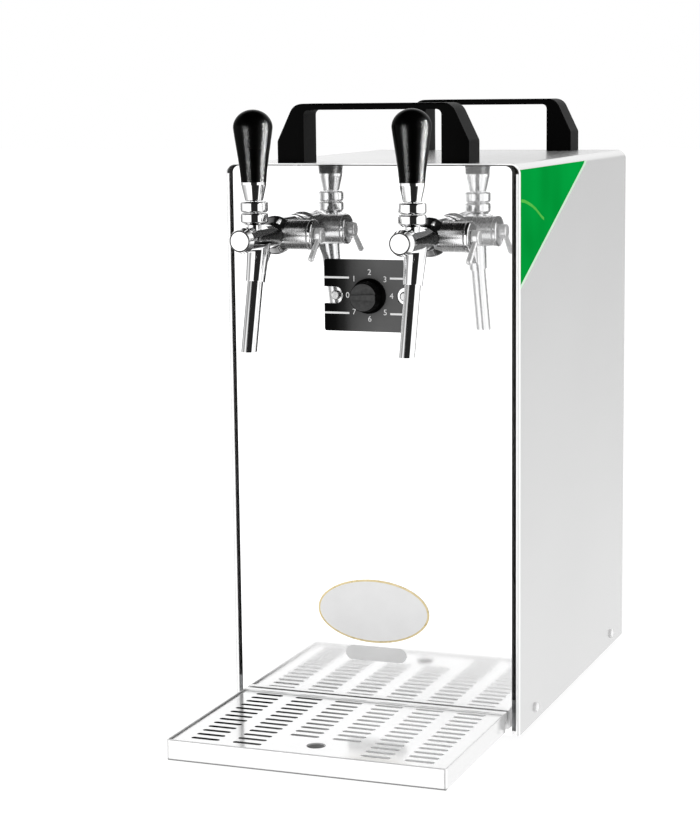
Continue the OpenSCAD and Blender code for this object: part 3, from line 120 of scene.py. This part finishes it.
class Tree:
    """A node tree with short ways to add and join nodes."""

    def __init__(self, tree):
        self.tree = tree
        tree.nodes.clear()

    def add(self, kind, **settings):
        node = self.tree.nodes.new(kind)
        for name, value in settings.items():
            setattr(node, name, value)
        return node

    def join(self, source, target):
        self.tree.links.new(source, target)

    def set(self, socket, value):
        """Joins another socket to this one, or sets it to a constant."""
        if isinstance(value, bpy.types.NodeSocket):
            self.join(value, socket)
        elif value is not None:
            socket.default_value = value

    def math(self, operation, a, b=None):
        node = self.add("ShaderNodeMath", operation=operation)
        for socket, value in zip(node.inputs, (a, b)):
            self.set(socket, value)
        return node.outputs[0]

    def radius(self, a, b):
        """Distance from an axis, of its two components."""
        squares = [self.math("POWER", side, 2.0) for side in (a, b)]
        return self.math("SQRT", self.math("ADD", *squares))

    def mix(self, kind, factor, first, second):
        """Blend of two colours (RGBA) or two numbers (FLOAT)."""
        node = self.add("ShaderNodeMix", data_type=kind)
        first_input, second_input, output = MIX_SOCKETS[kind]
        self.set(node.inputs["Factor"], factor)
        self.set(node.inputs[first_input], first)
        self.set(node.inputs[second_input], second)
        return node.outputs[output]

    def coordinate(self, kind="Object"):
        return self.add("ShaderNodeTexCoord").outputs[kind]

    def axes(self, kind="Object"):
        """X, Y and Z of a texture coordinate."""
        node = self.add("ShaderNodeSeparateXYZ")
        self.join(self.coordinate(kind), node.inputs[0])
        return node.outputs

    def ramp(self, source, stops):
        """Colour ramp over (place, grey or colour) stops."""
        node = self.add("ShaderNodeValToRGB")
        elements = node.color_ramp.elements
        while len(elements) < len(stops):
            elements.new(1.0)
        for element, (place, value) in zip(elements, stops):
            element.position = place
            element.color = (*value, 1) if isinstance(value, tuple) else (value, value, value, 1)
        self.join(source, node.inputs[0])
        return node.outputs[0]

    def range(self, source, low, high, to_low, to_high, smooth=False):
        node = self.add("ShaderNodeMapRange")
        if smooth:
            node.interpolation_type = "SMOOTHSTEP"
        self.join(source, node.inputs[0])
        for socket, value in zip(node.inputs[1:5], (low, high, to_low, to_high)):
            socket.default_value = value
        return node.outputs[0]

    def tones(self, source, dark, light):
        """Colour that goes from dark to light with a noise."""
        return self.ramp(source, ((NOISE_LOW, dark), (NOISE_HIGH, light)))

    def spread(self, source, low, high):
        """Number that goes from low to high with a noise."""
        return self.range(source, NOISE_LOW, NOISE_HIGH, low, high)

    def noise(self, stretch, detail=3.0):
        """Noise in the object's own metres, stretched alike or along each axis."""
        mapping = self.add("ShaderNodeMapping")
        mapping.inputs["Scale"].default_value = stretch if isinstance(stretch, tuple) else (stretch,) * 3
        self.join(self.coordinate(), mapping.inputs["Vector"])
        node = self.add("ShaderNodeTexNoise")
        node.inputs["Scale"].default_value = 1.0
        node.inputs["Detail"].default_value = detail
        self.join(mapping.outputs[0], node.inputs["Vector"])
        return node.outputs[0]

    def bump(self, height, strength, distance):
        node = self.add("ShaderNodeBump")
        node.inputs["Strength"].default_value = strength
        node.inputs["Distance"].default_value = distance
        self.join(height, node.inputs["Height"])
        return node.outputs[0]


materials = {}


class Look(Tree):
    """A material with one principled shader, kept under its name."""

    def __init__(self, name, **constants):
        material = bpy.data.materials.new(name)
        material.use_nodes = True
        super().__init__(material.node_tree)
        surface = self.add("ShaderNodeBsdfPrincipled")
        output = self.add("ShaderNodeOutputMaterial")
        self.join(surface.outputs[0], output.inputs["Surface"])
        self.inputs = surface.inputs
        self.feed(**constants)
        materials[name] = material

    def feed(self, **values):
        """Joins or sets the shader's sockets, with underscores for the spaces in their names."""
        for name, value in values.items():
            self.set(self.inputs[name.replace("_", " ")], value)

    def vary(self, source, dark, light, rough):
        """Colour and roughness that follow one texture."""
        self.feed(Base_Color=self.tones(source, dark, light), Roughness=self.spread(source, *rough))


# Materials that change over their piece, with lengths in millimetres

COVER_EDGE = 2.2
COVER_EDGE_HIGHLIGHT_TONE = (0.96, 0.96, 0.96, 1)


def cover_steel():
    """Ground sheet with fine grain along the cabinet's depth and a painted highlight along the front edge."""
    look = Look("cover_steel")
    _, y, _ = look.axes()
    # Painted highlight: the front edge is coloured near white and made less metallic, standing for the light on
    # the bend.
    edge = look.math("LESS_THAN", y, cover_low.y + COVER_EDGE * MM)
    grain = look.noise((400, 6, 2200), detail=4)
    cloud = look.noise(4, detail=2)
    mixed = look.math("ADD", look.math("MULTIPLY", grain, 0.5), look.math("MULTIPLY", cloud, 0.5))
    look.feed(
        Base_Color=look.mix("RGBA", edge, look.tones(mixed, 0.69, 0.75), COVER_EDGE_HIGHLIGHT_TONE),
        Metallic=look.range(edge, 0.0, 1.0, 0.7, 0.3),
        Roughness=look.spread(mixed, 0.18, 0.27),
        Normal=look.bump(grain, 0.06, 0.0002),
    )


HAZE_FULL_HEIGHT = 60
HAZE_END_HEIGHT = 130
HAZE = 0.045


def mirror_steel():
    """Polished sheet with the slight ripple of thin steel, hazier near the tray, and painted paler at the
    right.
    """
    look = Look("mirror_steel")
    x, _, z = look.axes()
    ripple = look.noise(5, detail=1)
    fine = look.noise(900, detail=2)
    haze = look.range(z, HAZE_FULL_HEIGHT * MM, HAZE_END_HEIGHT * MM, HAZE, 0.0, smooth=True)
    look.feed(
        Base_Color=look.tones(fine, (0.92, 0.92, 0.925), 0.95),
        # Painted lightening: less metallic towards the right, so the panel's reflections look paler there.
        Metallic=look.range(x, 0.0, tap_x, 0.95, 0.8, smooth=True),
        Roughness=look.math("ADD", haze, look.spread(fine, 0.03, 0.06)),
        Normal=look.bump(ripple, 0.05, 0.004),
    )


# Painted shade on the slot walls across the grate, left to right: near black on the left, pale on the right
SLOT_PAINTED_SHADE_TONES = ((0.0, 0.006), (0.2, 0.01), (0.32, 0.15), (0.5, 0.7), (0.65, 0.95), (1.0, 0.96))
GRATE_SKIN = 0.1
# Part of a face's normal that counts as facing that way
FACING = 0.1


def grate_steel():
    """Pale ground steel whose slot walls carry painted shade on the left, apart from those that face the panel.
    """
    look = Look("grate_steel")
    x, _, z = look.axes()
    _, rearward, _ = look.axes("Normal")
    rear = look.math("GREATER_THAN", rearward, FACING)
    across = look.math("MAXIMUM", look.range(x, grate_low.x, grate_high.x, 0.0, 1.0), rear)
    top = look.math("GREATER_THAN", z, grate_high.z - GRATE_SKIN * MM)
    grain = look.noise((40, 900, 900))
    look.feed(
        # Painted shade: slot walls are dark on the left and fade to the steel's own pale tone on the right.
        Base_Color=look.mix("RGBA", top, look.ramp(across, SLOT_PAINTED_SHADE_TONES), look.tones(grain, 0.92, 0.96)),
        Metallic=look.math("MULTIPLY", top, 0.5),
        Roughness=look.spread(grain, 0.10, 0.15),
    )


TRAY_BEND_PAINTED_SHADE = 0.4
TRAY_BEND_FULL = 1.4
TRAY_BEND_END = 2.4


def tray_steel():
    """Satin sheet of the drip tray, with painted shade along the front's lower bend."""
    look = Look("tray_steel", Metallic=0.45)
    _, _, z = look.axes()
    _, rearward, _ = look.axes("Normal")
    front = look.math("LESS_THAN", rearward, -FACING)
    bend = look.range(z, tray_low.z + TRAY_BEND_FULL * MM, tray_low.z + TRAY_BEND_END * MM, 1.0, 0.0)
    # Painted shade: the front's lower bend is darkened to stand for the shadow line there.
    shade = look.range(look.math("MULTIPLY", front, bend), 0.0, 1.0, 1.0, TRAY_BEND_PAINTED_SHADE)
    grain = look.noise((40, 900, 900))
    look.feed(
        Base_Color=look.math("MULTIPLY", shade, look.spread(grain, 0.88, 0.93)),
        Roughness=look.spread(grain, 0.09, 0.14),
    )


SPANGLE_SCALE = 140.0


def sheet_steel():
    """Galvanised sheet with its spangle."""
    look = Look("sheet_steel", Metallic=1.0)
    cells = look.add("ShaderNodeTexVoronoi")
    cells.inputs["Scale"].default_value = SPANGLE_SCALE
    look.join(look.coordinate(), cells.inputs["Vector"])
    look.vary(cells.outputs["Color"], (0.46, 0.47, 0.48), (0.62, 0.63, 0.64), (0.32, 0.45))


DIAL_FACING = -0.9
DIAL_PAINTED_LIGHT_TONES = ((0.0, 0.0006), (1.0, 1.0))


def dial_black():
    """Moulded dial knob, with painted light that makes its front face paler than its sides."""
    look = Look("dial_black", Specular_IOR_Level=0.03)
    _, rearward, _ = look.axes("Normal")
    face = look.math("LESS_THAN", rearward, DIAL_FACING)
    grain = look.noise(300)
    # Painted light: only the forward-facing face is paler.
    tone = look.math("MULTIPLY", face, look.spread(grain, 0.05, 0.075))
    look.feed(Base_Color=look.ramp(tone, DIAL_PAINTED_LIGHT_TONES), Roughness=look.spread(grain, 0.35, 0.45))


# Painted light across the dial plate, left to right: black on the left, lit grey on the right
PLATE_PAINTED_LIGHT_TONES = (
    (0.0, 0.0005), (0.12, 0.003), (0.22, 0.019), (0.3, 0.064), (0.4, 0.095), (0.6, 0.125), (1.0, 0.11),
)
PLATE_UNEVEN = 0.06


def plate_black():
    """Printed face of the dial plate, grained, with painted light from black on the left to grey on the right.
    """
    look = Look("plate_black", Specular_IOR_Level=0.03)
    x, _, _ = look.axes()
    grain = look.noise(1200)
    across = look.range(x, plate_low.x, plate_high.x, 0.0, 1.0)
    uneven = look.math("MULTIPLY", look.math("SUBTRACT", grain, 0.5), PLATE_UNEVEN)
    look.feed(
        Base_Color=look.ramp(look.math("ADD", across, uneven), PLATE_PAINTED_LIGHT_TONES),
        Roughness=look.spread(grain, 0.4, 0.5),
        Normal=look.bump(grain, 0.08, 0.0001),
    )


GROOVE_INNER = 7.1
GROOVE_OUTER = 8.5
GROOVE_SHADE_TONES = ((0.0, 0.90), (0.15, 0.2), (0.85, 0.2), (1.0, 0.90))


def cap_chrome():
    """Polished plate, with painted shade in the groove round each tap cap's face."""
    look = Look("cap_chrome", Metallic=1.0)
    x, _, z = look.axes()
    aside = look.math("SUBTRACT", look.math("ABSOLUTE", x), tap_x)
    height = look.math("SUBTRACT", z, cap_axis.z)
    groove = look.range(look.radius(aside, height), GROOVE_INNER * MM, GROOVE_OUTER * MM, 0.0, 1.0)
    swirl = look.noise(500, detail=2)
    # Painted shade: the base colour is darkened inside the groove's ring.
    look.feed(Base_Color=look.ramp(groove, GROOVE_SHADE_TONES), Roughness=look.spread(swirl, 0.04, 0.08))


BAND_RADIUS = 12.2
BAND_START = 10.0
BAND_END = 29.4
TAP_TONE = (0.91, 0.91, 0.915, 1)
TAP_ROUGHNESS = 0.05


def tap_chrome():
    """Polished plate with a brushed band round each regulator's boss."""
    look = Look("tap_chrome", Metallic=1.0)
    x, y, z = look.axes()
    along = look.math("FLOORED_MODULO", look.math("ADD", x, tap_x), 2 * tap_x)
    depth = look.math("SUBTRACT", y, regulator_axis.y)
    height = look.math("SUBTRACT", z, regulator_axis.z)
    inside = look.math("LESS_THAN", look.radius(depth, height), BAND_RADIUS * MM)
    starts = look.math("GREATER_THAN", along, BAND_START * MM)
    ends = look.math("LESS_THAN", along, BAND_END * MM)
    band = look.math("MULTIPLY", inside, look.math("MULTIPLY", starts, ends))
    grain = look.noise((3000, 120, 120))
    look.feed(
        Base_Color=look.mix("RGBA", band, TAP_TONE, look.tones(grain, 0.80, 0.95)),
        Roughness=look.mix("FLOAT", band, TAP_ROUGHNESS, look.spread(grain, 0.22, 0.30)),
    )


# Plain materials

def plain(name, noise, dark, light, rough, detail=3.0, bump=None, **constants):
    """A material whose colour, roughness and bump (strength, distance) follow one noise."""
    look = Look(name, **constants)
    source = look.noise(noise, detail)
    look.vary(source, dark, light, rough)
    if bump:
        look.feed(Normal=look.bump(source, *bump))


def metals():
    plain("chrome", 500, (0.88, 0.88, 0.885), 0.93, (0.035, 0.07), detail=2, Metallic=1.0)
    plain("satin_chrome", 500, (0.88, 0.88, 0.885), 0.93, (0.2, 0.28), detail=2, Metallic=0.6)
    plain("screw_steel", 700, 0.92, 0.97, (0.45, 0.6), Metallic=0.3)
    plain("zinc_steel", 700, (0.55, 0.55, 0.56), (0.72, 0.72, 0.71), (0.22, 0.34), Metallic=1.0)
    plain("aluminium", (800, 800, 30), (0.66, 0.67, 0.69), (0.80, 0.81, 0.82), (0.25, 0.4), Metallic=1.0)
    plain("copper", 90, (0.58, 0.24, 0.12), (0.83, 0.43, 0.27), (0.2, 0.4), Metallic=1.0)
    plain("brass", 600, (0.62, 0.42, 0.14), (0.80, 0.58, 0.24), (0.2, 0.35), Metallic=1.0)
    plain("painted_steel", 260, (0.012, 0.012, 0.014), (0.022, 0.022, 0.025), (0.3, 0.4), detail=2,
          bump=(0.15, 0.0004), Coat_Weight=0.2)


def plastics():
    plain("matte_black", 1400, 0.0005, 0.0012, (0.42, 0.52), detail=4, bump=(0.15, 0.0002),
          Specular_IOR_Level=0.04)
    plain("gloss_black", 60, 0.0003, 0.0008, (0.17, 0.21), Specular_IOR_Level=0.025)
    plain("rubber", 900, 0.02, 0.045, (0.7, 0.85), bump=(0.2, 0.0002), Specular_IOR_Level=0.3)
    plain("white_plastic", 300, (0.74, 0.74, 0.70), (0.82, 0.82, 0.79), (0.35, 0.45))
    plain("foam", 500, (0.55, 0.47, 0.26), (0.78, 0.70, 0.45), (0.85, 0.95), detail=6, bump=(0.5, 0.001),
          Specular_IOR_Level=0.2)


def prints():
    plain("white_print", 1500, 0.80, 0.90, (0.4, 0.55))
    plain("green_film", 18, (0.0005, 0.270, 0.034), (0.001, 0.350, 0.050), (0.45, 0.55), detail=1,
          Specular_IOR_Level=0.0)
    plain("light_green_film", 40, (0.06, 0.42, 0.05), (0.11, 0.52, 0.08), (0.45, 0.55), Specular_IOR_Level=0.0)
    plain("pale_green_film", 40, (0.58, 0.78, 0.60), (0.66, 0.84, 0.68), (0.45, 0.55), Specular_IOR_Level=0.0)
    plain("badge_face", 50, 0.85, 0.89, (0.3, 0.4), Specular_IOR_Level=0.3)
    plain("plate_face", 50, 0.74, 0.80, (0.3, 0.4), Specular_IOR_Level=0.3)
    plain("gold_line", 200, (0.58, 0.47, 0.24), (0.72, 0.60, 0.36), (0.25, 0.35), Metallic=0.6)


MAKERS = (
    cover_steel, mirror_steel, grate_steel, tray_steel, sheet_steel, dial_black, plate_black, cap_chrome,
    tap_chrome, metals, plastics, prints,
)
OWN_MATERIAL = {
    "outer_cover": "cover_steel",
    "thermostat_knob": "dial_black",
    "thermostat_plate": "plate_black",
    "tap_bodies": "tap_chrome",
    "front_caps": "cap_chrome",
    "drip_grate": "grate_steel",
    "drip_tray": "tray_steel",
    "cabinet_screws": "screw_steel",
    "left_regulator_lever": "satin_chrome",
    "right_regulator_lever": "satin_chrome",
}


def dress_nodes():
    """Gives every solid the material of its slot, or its own."""
    for maker in MAKERS:
        maker()
    for part in frame["record"]["subparts"]:
        name = part["node"]
        material = materials[OWN_MATERIAL.get(name, part["material_slot"])]
        for place in nodes[name].material_slots:
            place.material = material


# Pieces of the scene

def piece(name, mesh, material):
    obj = link(bpy.data.objects.new(name, mesh))
    mesh.materials.append(materials[material])
    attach(obj, "cabinet")


def prism(name, outline, origin, plane, thickness):
    """Mesh of a flat outline, in millimetres on a plane, raised along the plane's normal."""
    across, up = plane
    lift = across.cross(up) * thickness * MM
    mesh = bpy.data.meshes.new(name)
    form = bmesh.new()
    corners = [form.verts.new(origin + (x * across + y * up) * MM) for x, y in outline]
    face = form.faces.new(corners)
    raised = bmesh.ops.extrude_face_region(form, geom=[face])["geom"]
    bmesh.ops.translate(form, verts=[v for v in raised if isinstance(v, bmesh.types.BMVert)], vec=lift)
    bmesh.ops.recalc_face_normals(form, faces=form.faces)
    form.to_mesh(mesh)
    form.free()
    return mesh


def ellipse(width, height, count=64):
    turns = (2 * math.pi * i / count for i in range(count))
    return [(width / 2 * math.cos(t), height / 2 * math.sin(t)) for t in turns]


def pill(width, height, count=16):
    r = height / 2
    half = width / 2 - r
    turns = (math.pi * i / count for i in range(count + 1))
    right = [(half + r * math.sin(t), -r * math.cos(t)) for t in turns]
    return right + [(-x, -y) for x, y in right]


def rectangle(width, height):
    x, y = width / 2, height / 2
    return [(-x, -y), (x, -y), (x, y), (-x, y)]


# Green film on the right side, with a light wave and a pale sloping edge, in millimetres

FILM_LENGTH = 203.6
FILM_DROP = 93.2
FILM_FROM_FRONT = 2.2
FILM_FROM_TOP = 4.8
FILM_EDGE = 3.2
FILM_THICKNESS = 0.12
WAVE = ((0.6, -23.9), (10, -24.7), (20, -26.7), (31, -29.3), (42, -32.7), (53, -37.2), (60, -40.0), (66, -41.9))
WAVE_WIDTH = 2.4
WAVE_THICKNESS = 0.18
BEND_RADIUS = 8.0
BEND_STEPS = 5


def wrap_bend(mesh):
    """Lays a side film's upper edge on the cover's top bend."""
    radius = BEND_RADIUS * MM
    start = cover_high.z - radius
    form = bmesh.new()
    form.from_mesh(mesh)
    for step in range(BEND_STEPS):
        cut = Vector((0, 0, start + step / BEND_STEPS * (radius - FILM_FROM_TOP * MM)))
        everything = form.verts[:] + form.edges[:] + form.faces[:]
        bmesh.ops.bisect_plane(form, geom=everything, plane_co=cut, plane_no=Vector((0, 0, 1)))
    for vert in form.verts:
        rise = max(vert.co.z - start, 0.0)
        vert.co.x -= radius - math.sqrt(radius ** 2 - rise ** 2)
    form.to_mesh(mesh)
    form.free()


def add_film():
    corner = Vector((cover_high.x, cover_low.y, cover_high.z))
    corner += Vector((0, FILM_FROM_FRONT, -FILM_FROM_TOP)) * MM
    edge = FILM_EDGE * math.hypot(FILM_LENGTH, FILM_DROP) / FILM_LENGTH
    low, short = edge - FILM_DROP, FILM_LENGTH * (1 - edge / FILM_DROP)
    field = [(0, 0), (0, low), (short, 0)]
    slope = [(0, low), (0, -FILM_DROP), (FILM_LENGTH, 0), (short, 0)]
    under = [(y, z - WAVE_WIDTH / 2) for y, z in WAVE]
    over = [(y, z + WAVE_WIDTH / 2) for y, z in reversed(WAVE)]
    for name, outline, material, thickness in (
        ("side_film", field, "green_film", FILM_THICKNESS),
        ("side_film_edge", slope, "pale_green_film", FILM_THICKNESS),
        ("side_film_wave", under + over, "light_green_film", WAVE_THICKNESS),
    ):
        mesh = prism(name, outline, corner, RIGHT_SIDE, thickness)
        wrap_bend(mesh)
        piece(name, mesh, material)


# Blank badge and name plate on the front panel, in millimetres

BADGE_CENTER = (0.0, 100.0)
BADGE_SIZE = (97.0, 53.0)
BADGE_LINE = 1.6
SMALL_PLATE_CENTER = (2.0, 64.0)
SMALL_PLATE_SIZE = (53.0, 12.0)
BADGE_THICKNESS = 0.4
BADGE_FIELD_THICKNESS = 0.52


def add_badges():
    rim = ellipse(*BADGE_SIZE)
    field = ellipse(*(side - 2 * BADGE_LINE for side in BADGE_SIZE))
    plate = pill(*SMALL_PLATE_SIZE)
    for name, outline, place, thickness, material, slot in (
        ("badge_rim", rim, BADGE_CENTER, BADGE_THICKNESS, "gold_line", "brass"),
        ("badge_field", field, BADGE_CENTER, BADGE_FIELD_THICKNESS, "badge_face", "white_plastic"),
        ("small_plate", plate, SMALL_PLATE_CENTER, BADGE_THICKNESS, "plate_face", "white_plastic"),
    ):
        x, z = place
        origin = Vector((x * MM, panel_low.y, z * MM))
        piece(name, prism(name, outline, origin, FRONT, thickness), material)


# Print on the thermostat's plate, in millimetres

FIGURES = 8
FIGURE_RADIUS = 18.8
FIGURE_HEIGHT = 4.6
# Height of a figure as a part of the font's size
FIGURE_SHARE = 0.7
PRINT_RAISE = 0.06
LINE_HEIGHT = 14.3
LINE_THICK = 1.6
LINE_INNER = 17.5


def dial_point(x, z):
    return Vector((dial_center.x + x * MM, plate_low.y, dial_center.z + z * MM))


def figure_mesh(text):
    """Flat mesh of one printed figure, its middle at the origin, in metres."""
    curve = bpy.data.curves.new("figure", "FONT")
    curve.body = text
    curve.size = FIGURE_HEIGHT * MM / FIGURE_SHARE
    curve.align_x = "CENTER"
    curve.align_y = "CENTER"
    curve.extrude = PRINT_RAISE * MM
    holder = link(bpy.data.objects.new("figure", curve))
    bpy.context.view_layer.update()
    shaped = holder.evaluated_get(bpy.context.evaluated_depsgraph_get())
    mesh = bpy.data.meshes.new_from_object(shaped)
    bpy.data.objects.remove(holder)
    return mesh


def add_print():
    half = (plate_high.x - plate_low.x) / 2 / MM
    bar = rectangle(half - LINE_INNER, LINE_THICK)
    middle = (half + LINE_INNER) / 2
    for side, side_name in ((-1, "left"), (1, "right")):
        for level, level_name in ((-1, "lower"), (1, "upper")):
            name = f"dial_line_{side_name}_{level_name}"
            mesh = prism(name, bar, dial_point(side * middle, level * LINE_HEIGHT), FRONT, PRINT_RAISE)
            piece(name, mesh, "white_print")
    for step in range(FIGURES):
        turn = math.pi - 2 * math.pi * step / FIGURES
        place = dial_point(FIGURE_RADIUS * math.cos(turn), FIGURE_RADIUS * math.sin(turn))
        mesh = figure_mesh(str(step))
        mesh.transform(Matrix.Translation(place) @ Matrix.Rotation(math.pi / 2, 4, "X"))
        piece(f"dial_figure_{step}", mesh, "white_print")


# Studio: white floor, and a room that is white around the part and black behind the camera

FLOOR_SIZE = 30.0
FLOOR_GLOW = 0.93
FLOOR_COLOR = (0.14, 0.14, 0.14, 1)
WHITE = (1, 1, 1, 1)
AMBIENT = 1.0
ROOM_GAIN = 2.0
# Brightness of the room at rising sines of elevation, each by compass angle from +X in degrees
BELOW = ((-180, 0.12), (-130, 0.06), (-100, 0.06), (-80, 0.05), (180, 0.05))
LOW = (
    (-180, 0.30), (-160, 0.30), (-145, 0.9), (-130, 1.5), (-92, 1.5), (-86, 0.02), (-16, 0.02), (-8, 1.5),
    (4, 1.5), (14, 1.1), (38, 1.1), (50, 1.5), (60, 1.0), (80, 1.0), (95, 1.12), (125, 1.12), (140, 0.5),
    (160, 0.3), (180, 0.3),
)
TABLE = (
    (-180, 0.6), (-168, 0.9), (-150, 1.3), (-138, 1.5), (-96, 1.5), (-91, 0.02), (-40, 0.02), (-32, 1.5),
    (4, 1.5), (14, 1.1), (38, 1.1), (50, 1.5), (60, 0.97), (80, 0.97), (95, 1.12), (125, 1.12), (136, 0.9),
    (145, 0.35), (165, 0.35), (180, 0.6),
)
EYE = (
    (-180, 1.0), (-172, 1.2), (-145, 1.2), (-138, 1.5), (-96, 1.5), (-91, 0.02), (-40, 0.02), (-32, 1.5),
    (4, 1.5), (14, 1.1), (38, 1.1), (50, 1.5), (60, 0.66), (80, 0.66), (98, 0.58), (105, 0.80), (110, 0.98),
    (114, 1.12), (125, 1.2), (134, 0.8), (142, 0.3), (165, 0.3), (175, 0.8), (180, 1.0),
)
UPPER = (
    (-180, 0.35), (-148, 0.35), (-134, 1.2), (-126, 1.5), (-96, 1.5), (-91, 0.02), (-32, 0.02), (-24, 1.4),
    (60, 1.1), (125, 1.2), (150, 0.6), (180, 0.35),
)
HIGH = (
    (-180, 0.30), (-150, 0.26), (-132, 0.32), (-124, 0.3), (-118, 0.02), (-24, 0.02), (-16, 1.4), (60, 1.2),
    (125, 1.2), (150, 0.6), (180, 0.30),
)
CEILING = ((-180, 0.006), (180, 0.006))
ROOM = (
    (-0.85, BELOW), (-0.65, LOW), (-0.45, LOW), (-0.25, TABLE), (-0.03, EYE), (0.12, EYE), (0.19, UPPER),
    (0.32, UPPER), (0.38, HIGH), (0.55, HIGH), (0.78, CEILING),
)


def add_floor():
    material = bpy.data.materials.new("floor")
    material.use_nodes = True
    tree = Tree(material.node_tree)
    matte = tree.add("ShaderNodeBsdfDiffuse")
    matte.inputs["Color"].default_value = FLOOR_COLOR
    glow = tree.add("ShaderNodeEmission")
    glow.inputs["Strength"].default_value = FLOOR_GLOW
    both = tree.add("ShaderNodeAddShader")
    tree.join(matte.outputs[0], both.inputs[0])
    tree.join(glow.outputs[0], both.inputs[1])
    tree.join(both.outputs[0], tree.add("ShaderNodeOutputMaterial").inputs["Surface"])
    mesh = bpy.data.meshes.new("floor")
    corners = [(x, y, 0) for x, y in rectangle(FLOOR_SIZE, FLOOR_SIZE)]
    mesh.from_pydata(corners, [], [(0, 1, 2, 3)])
    mesh.materials.append(material)
    floor = link(bpy.data.objects.new("floor", mesh))
    floor.visible_glossy = False


def room_tone(tree):
    """Brightness of the room in every direction, over its gain."""
    x, y, z = tree.axes("Generated")
    around = tree.range(tree.math("ARCTAN2", y, x), -math.pi, math.pi, 0.0, 1.0)
    rings = [
        (sine, tree.ramp(around, [((degrees + 180) / 360, value / ROOM_GAIN) for degrees, value in ring]))
        for sine, ring in ROOM
    ]
    below, tone = rings[0]
    for sine, ring_tone in rings[1:]:
        tone = tree.mix("RGBA", tree.range(z, below, sine, 0.0, 1.0), tone, ring_tone)
        below = sine
    return tone


def add_world():
    """The room, plain white to the camera and even to diffuse surfaces."""
    world = bpy.data.worlds.new("studio")
    bpy.context.scene.world = world
    world.use_nodes = True
    tree = Tree(world.node_tree)

    def background(color, strength):
        node = tree.add("ShaderNodeBackground")
        tree.set(node.inputs["Color"], color)
        tree.set(node.inputs["Strength"], strength)
        return node.outputs[0]

    path = tree.add("ShaderNodeLightPath")
    shown = background(room_tone(tree), ROOM_GAIN)
    for rays, other in (
        ("Is Diffuse Ray", background(WHITE, AMBIENT)),
        ("Is Camera Ray", background(WHITE, 1.0)),
    ):
        choice = tree.add("ShaderNodeMixShader")
        tree.join(path.outputs[rays], choice.inputs[0])
        tree.join(shown, choice.inputs[1])
        tree.join(other, choice.inputs[2])
        shown = choice.outputs[0]
    tree.join(shown, tree.add("ShaderNodeOutputWorld").inputs["Surface"])


# Two softboxes that only the tap knobs mirror, as (place, width, height, radiance)

SOFTBOXES = (
    ((1.16, 0.10, 0.48), 0.84, 1.30, 200.0),
    ((-0.46, -1.27, 0.33), 0.62, 0.62, 80.0),
)


def add_softboxes():
    knobs = bpy.data.collections.new("knobs")
    for name in ("left_knob", "right_knob"):
        knobs.objects.link(nodes[name])
    target = (center("left_knob") + center("right_knob")) / 2
    for i, (place, width, height, radiance) in enumerate(SOFTBOXES):
        data = bpy.data.lights.new(f"softbox_{i}", "AREA")
        data.shape = "RECTANGLE"
        data.size, data.size_y = width, height
        data.energy = math.pi * width * height * radiance
        data.use_shadow = False
        data.cycles.use_multiple_importance_sampling = False
        light = link(bpy.data.objects.new(f"softbox_{i}", data))
        light.location = place
        light.rotation_euler = (target - Vector(place)).to_track_quat("-Z", "Y").to_euler()
        light.visible_camera = False
        light.visible_diffuse = False
        light.light_linking.receiver_collection = knobs


bpy.context.scene.view_settings.view_transform = "Standard"
add_camera()
dress_nodes()
add_film()
add_badges()
add_print()
add_floor()
add_world()
add_softboxes()
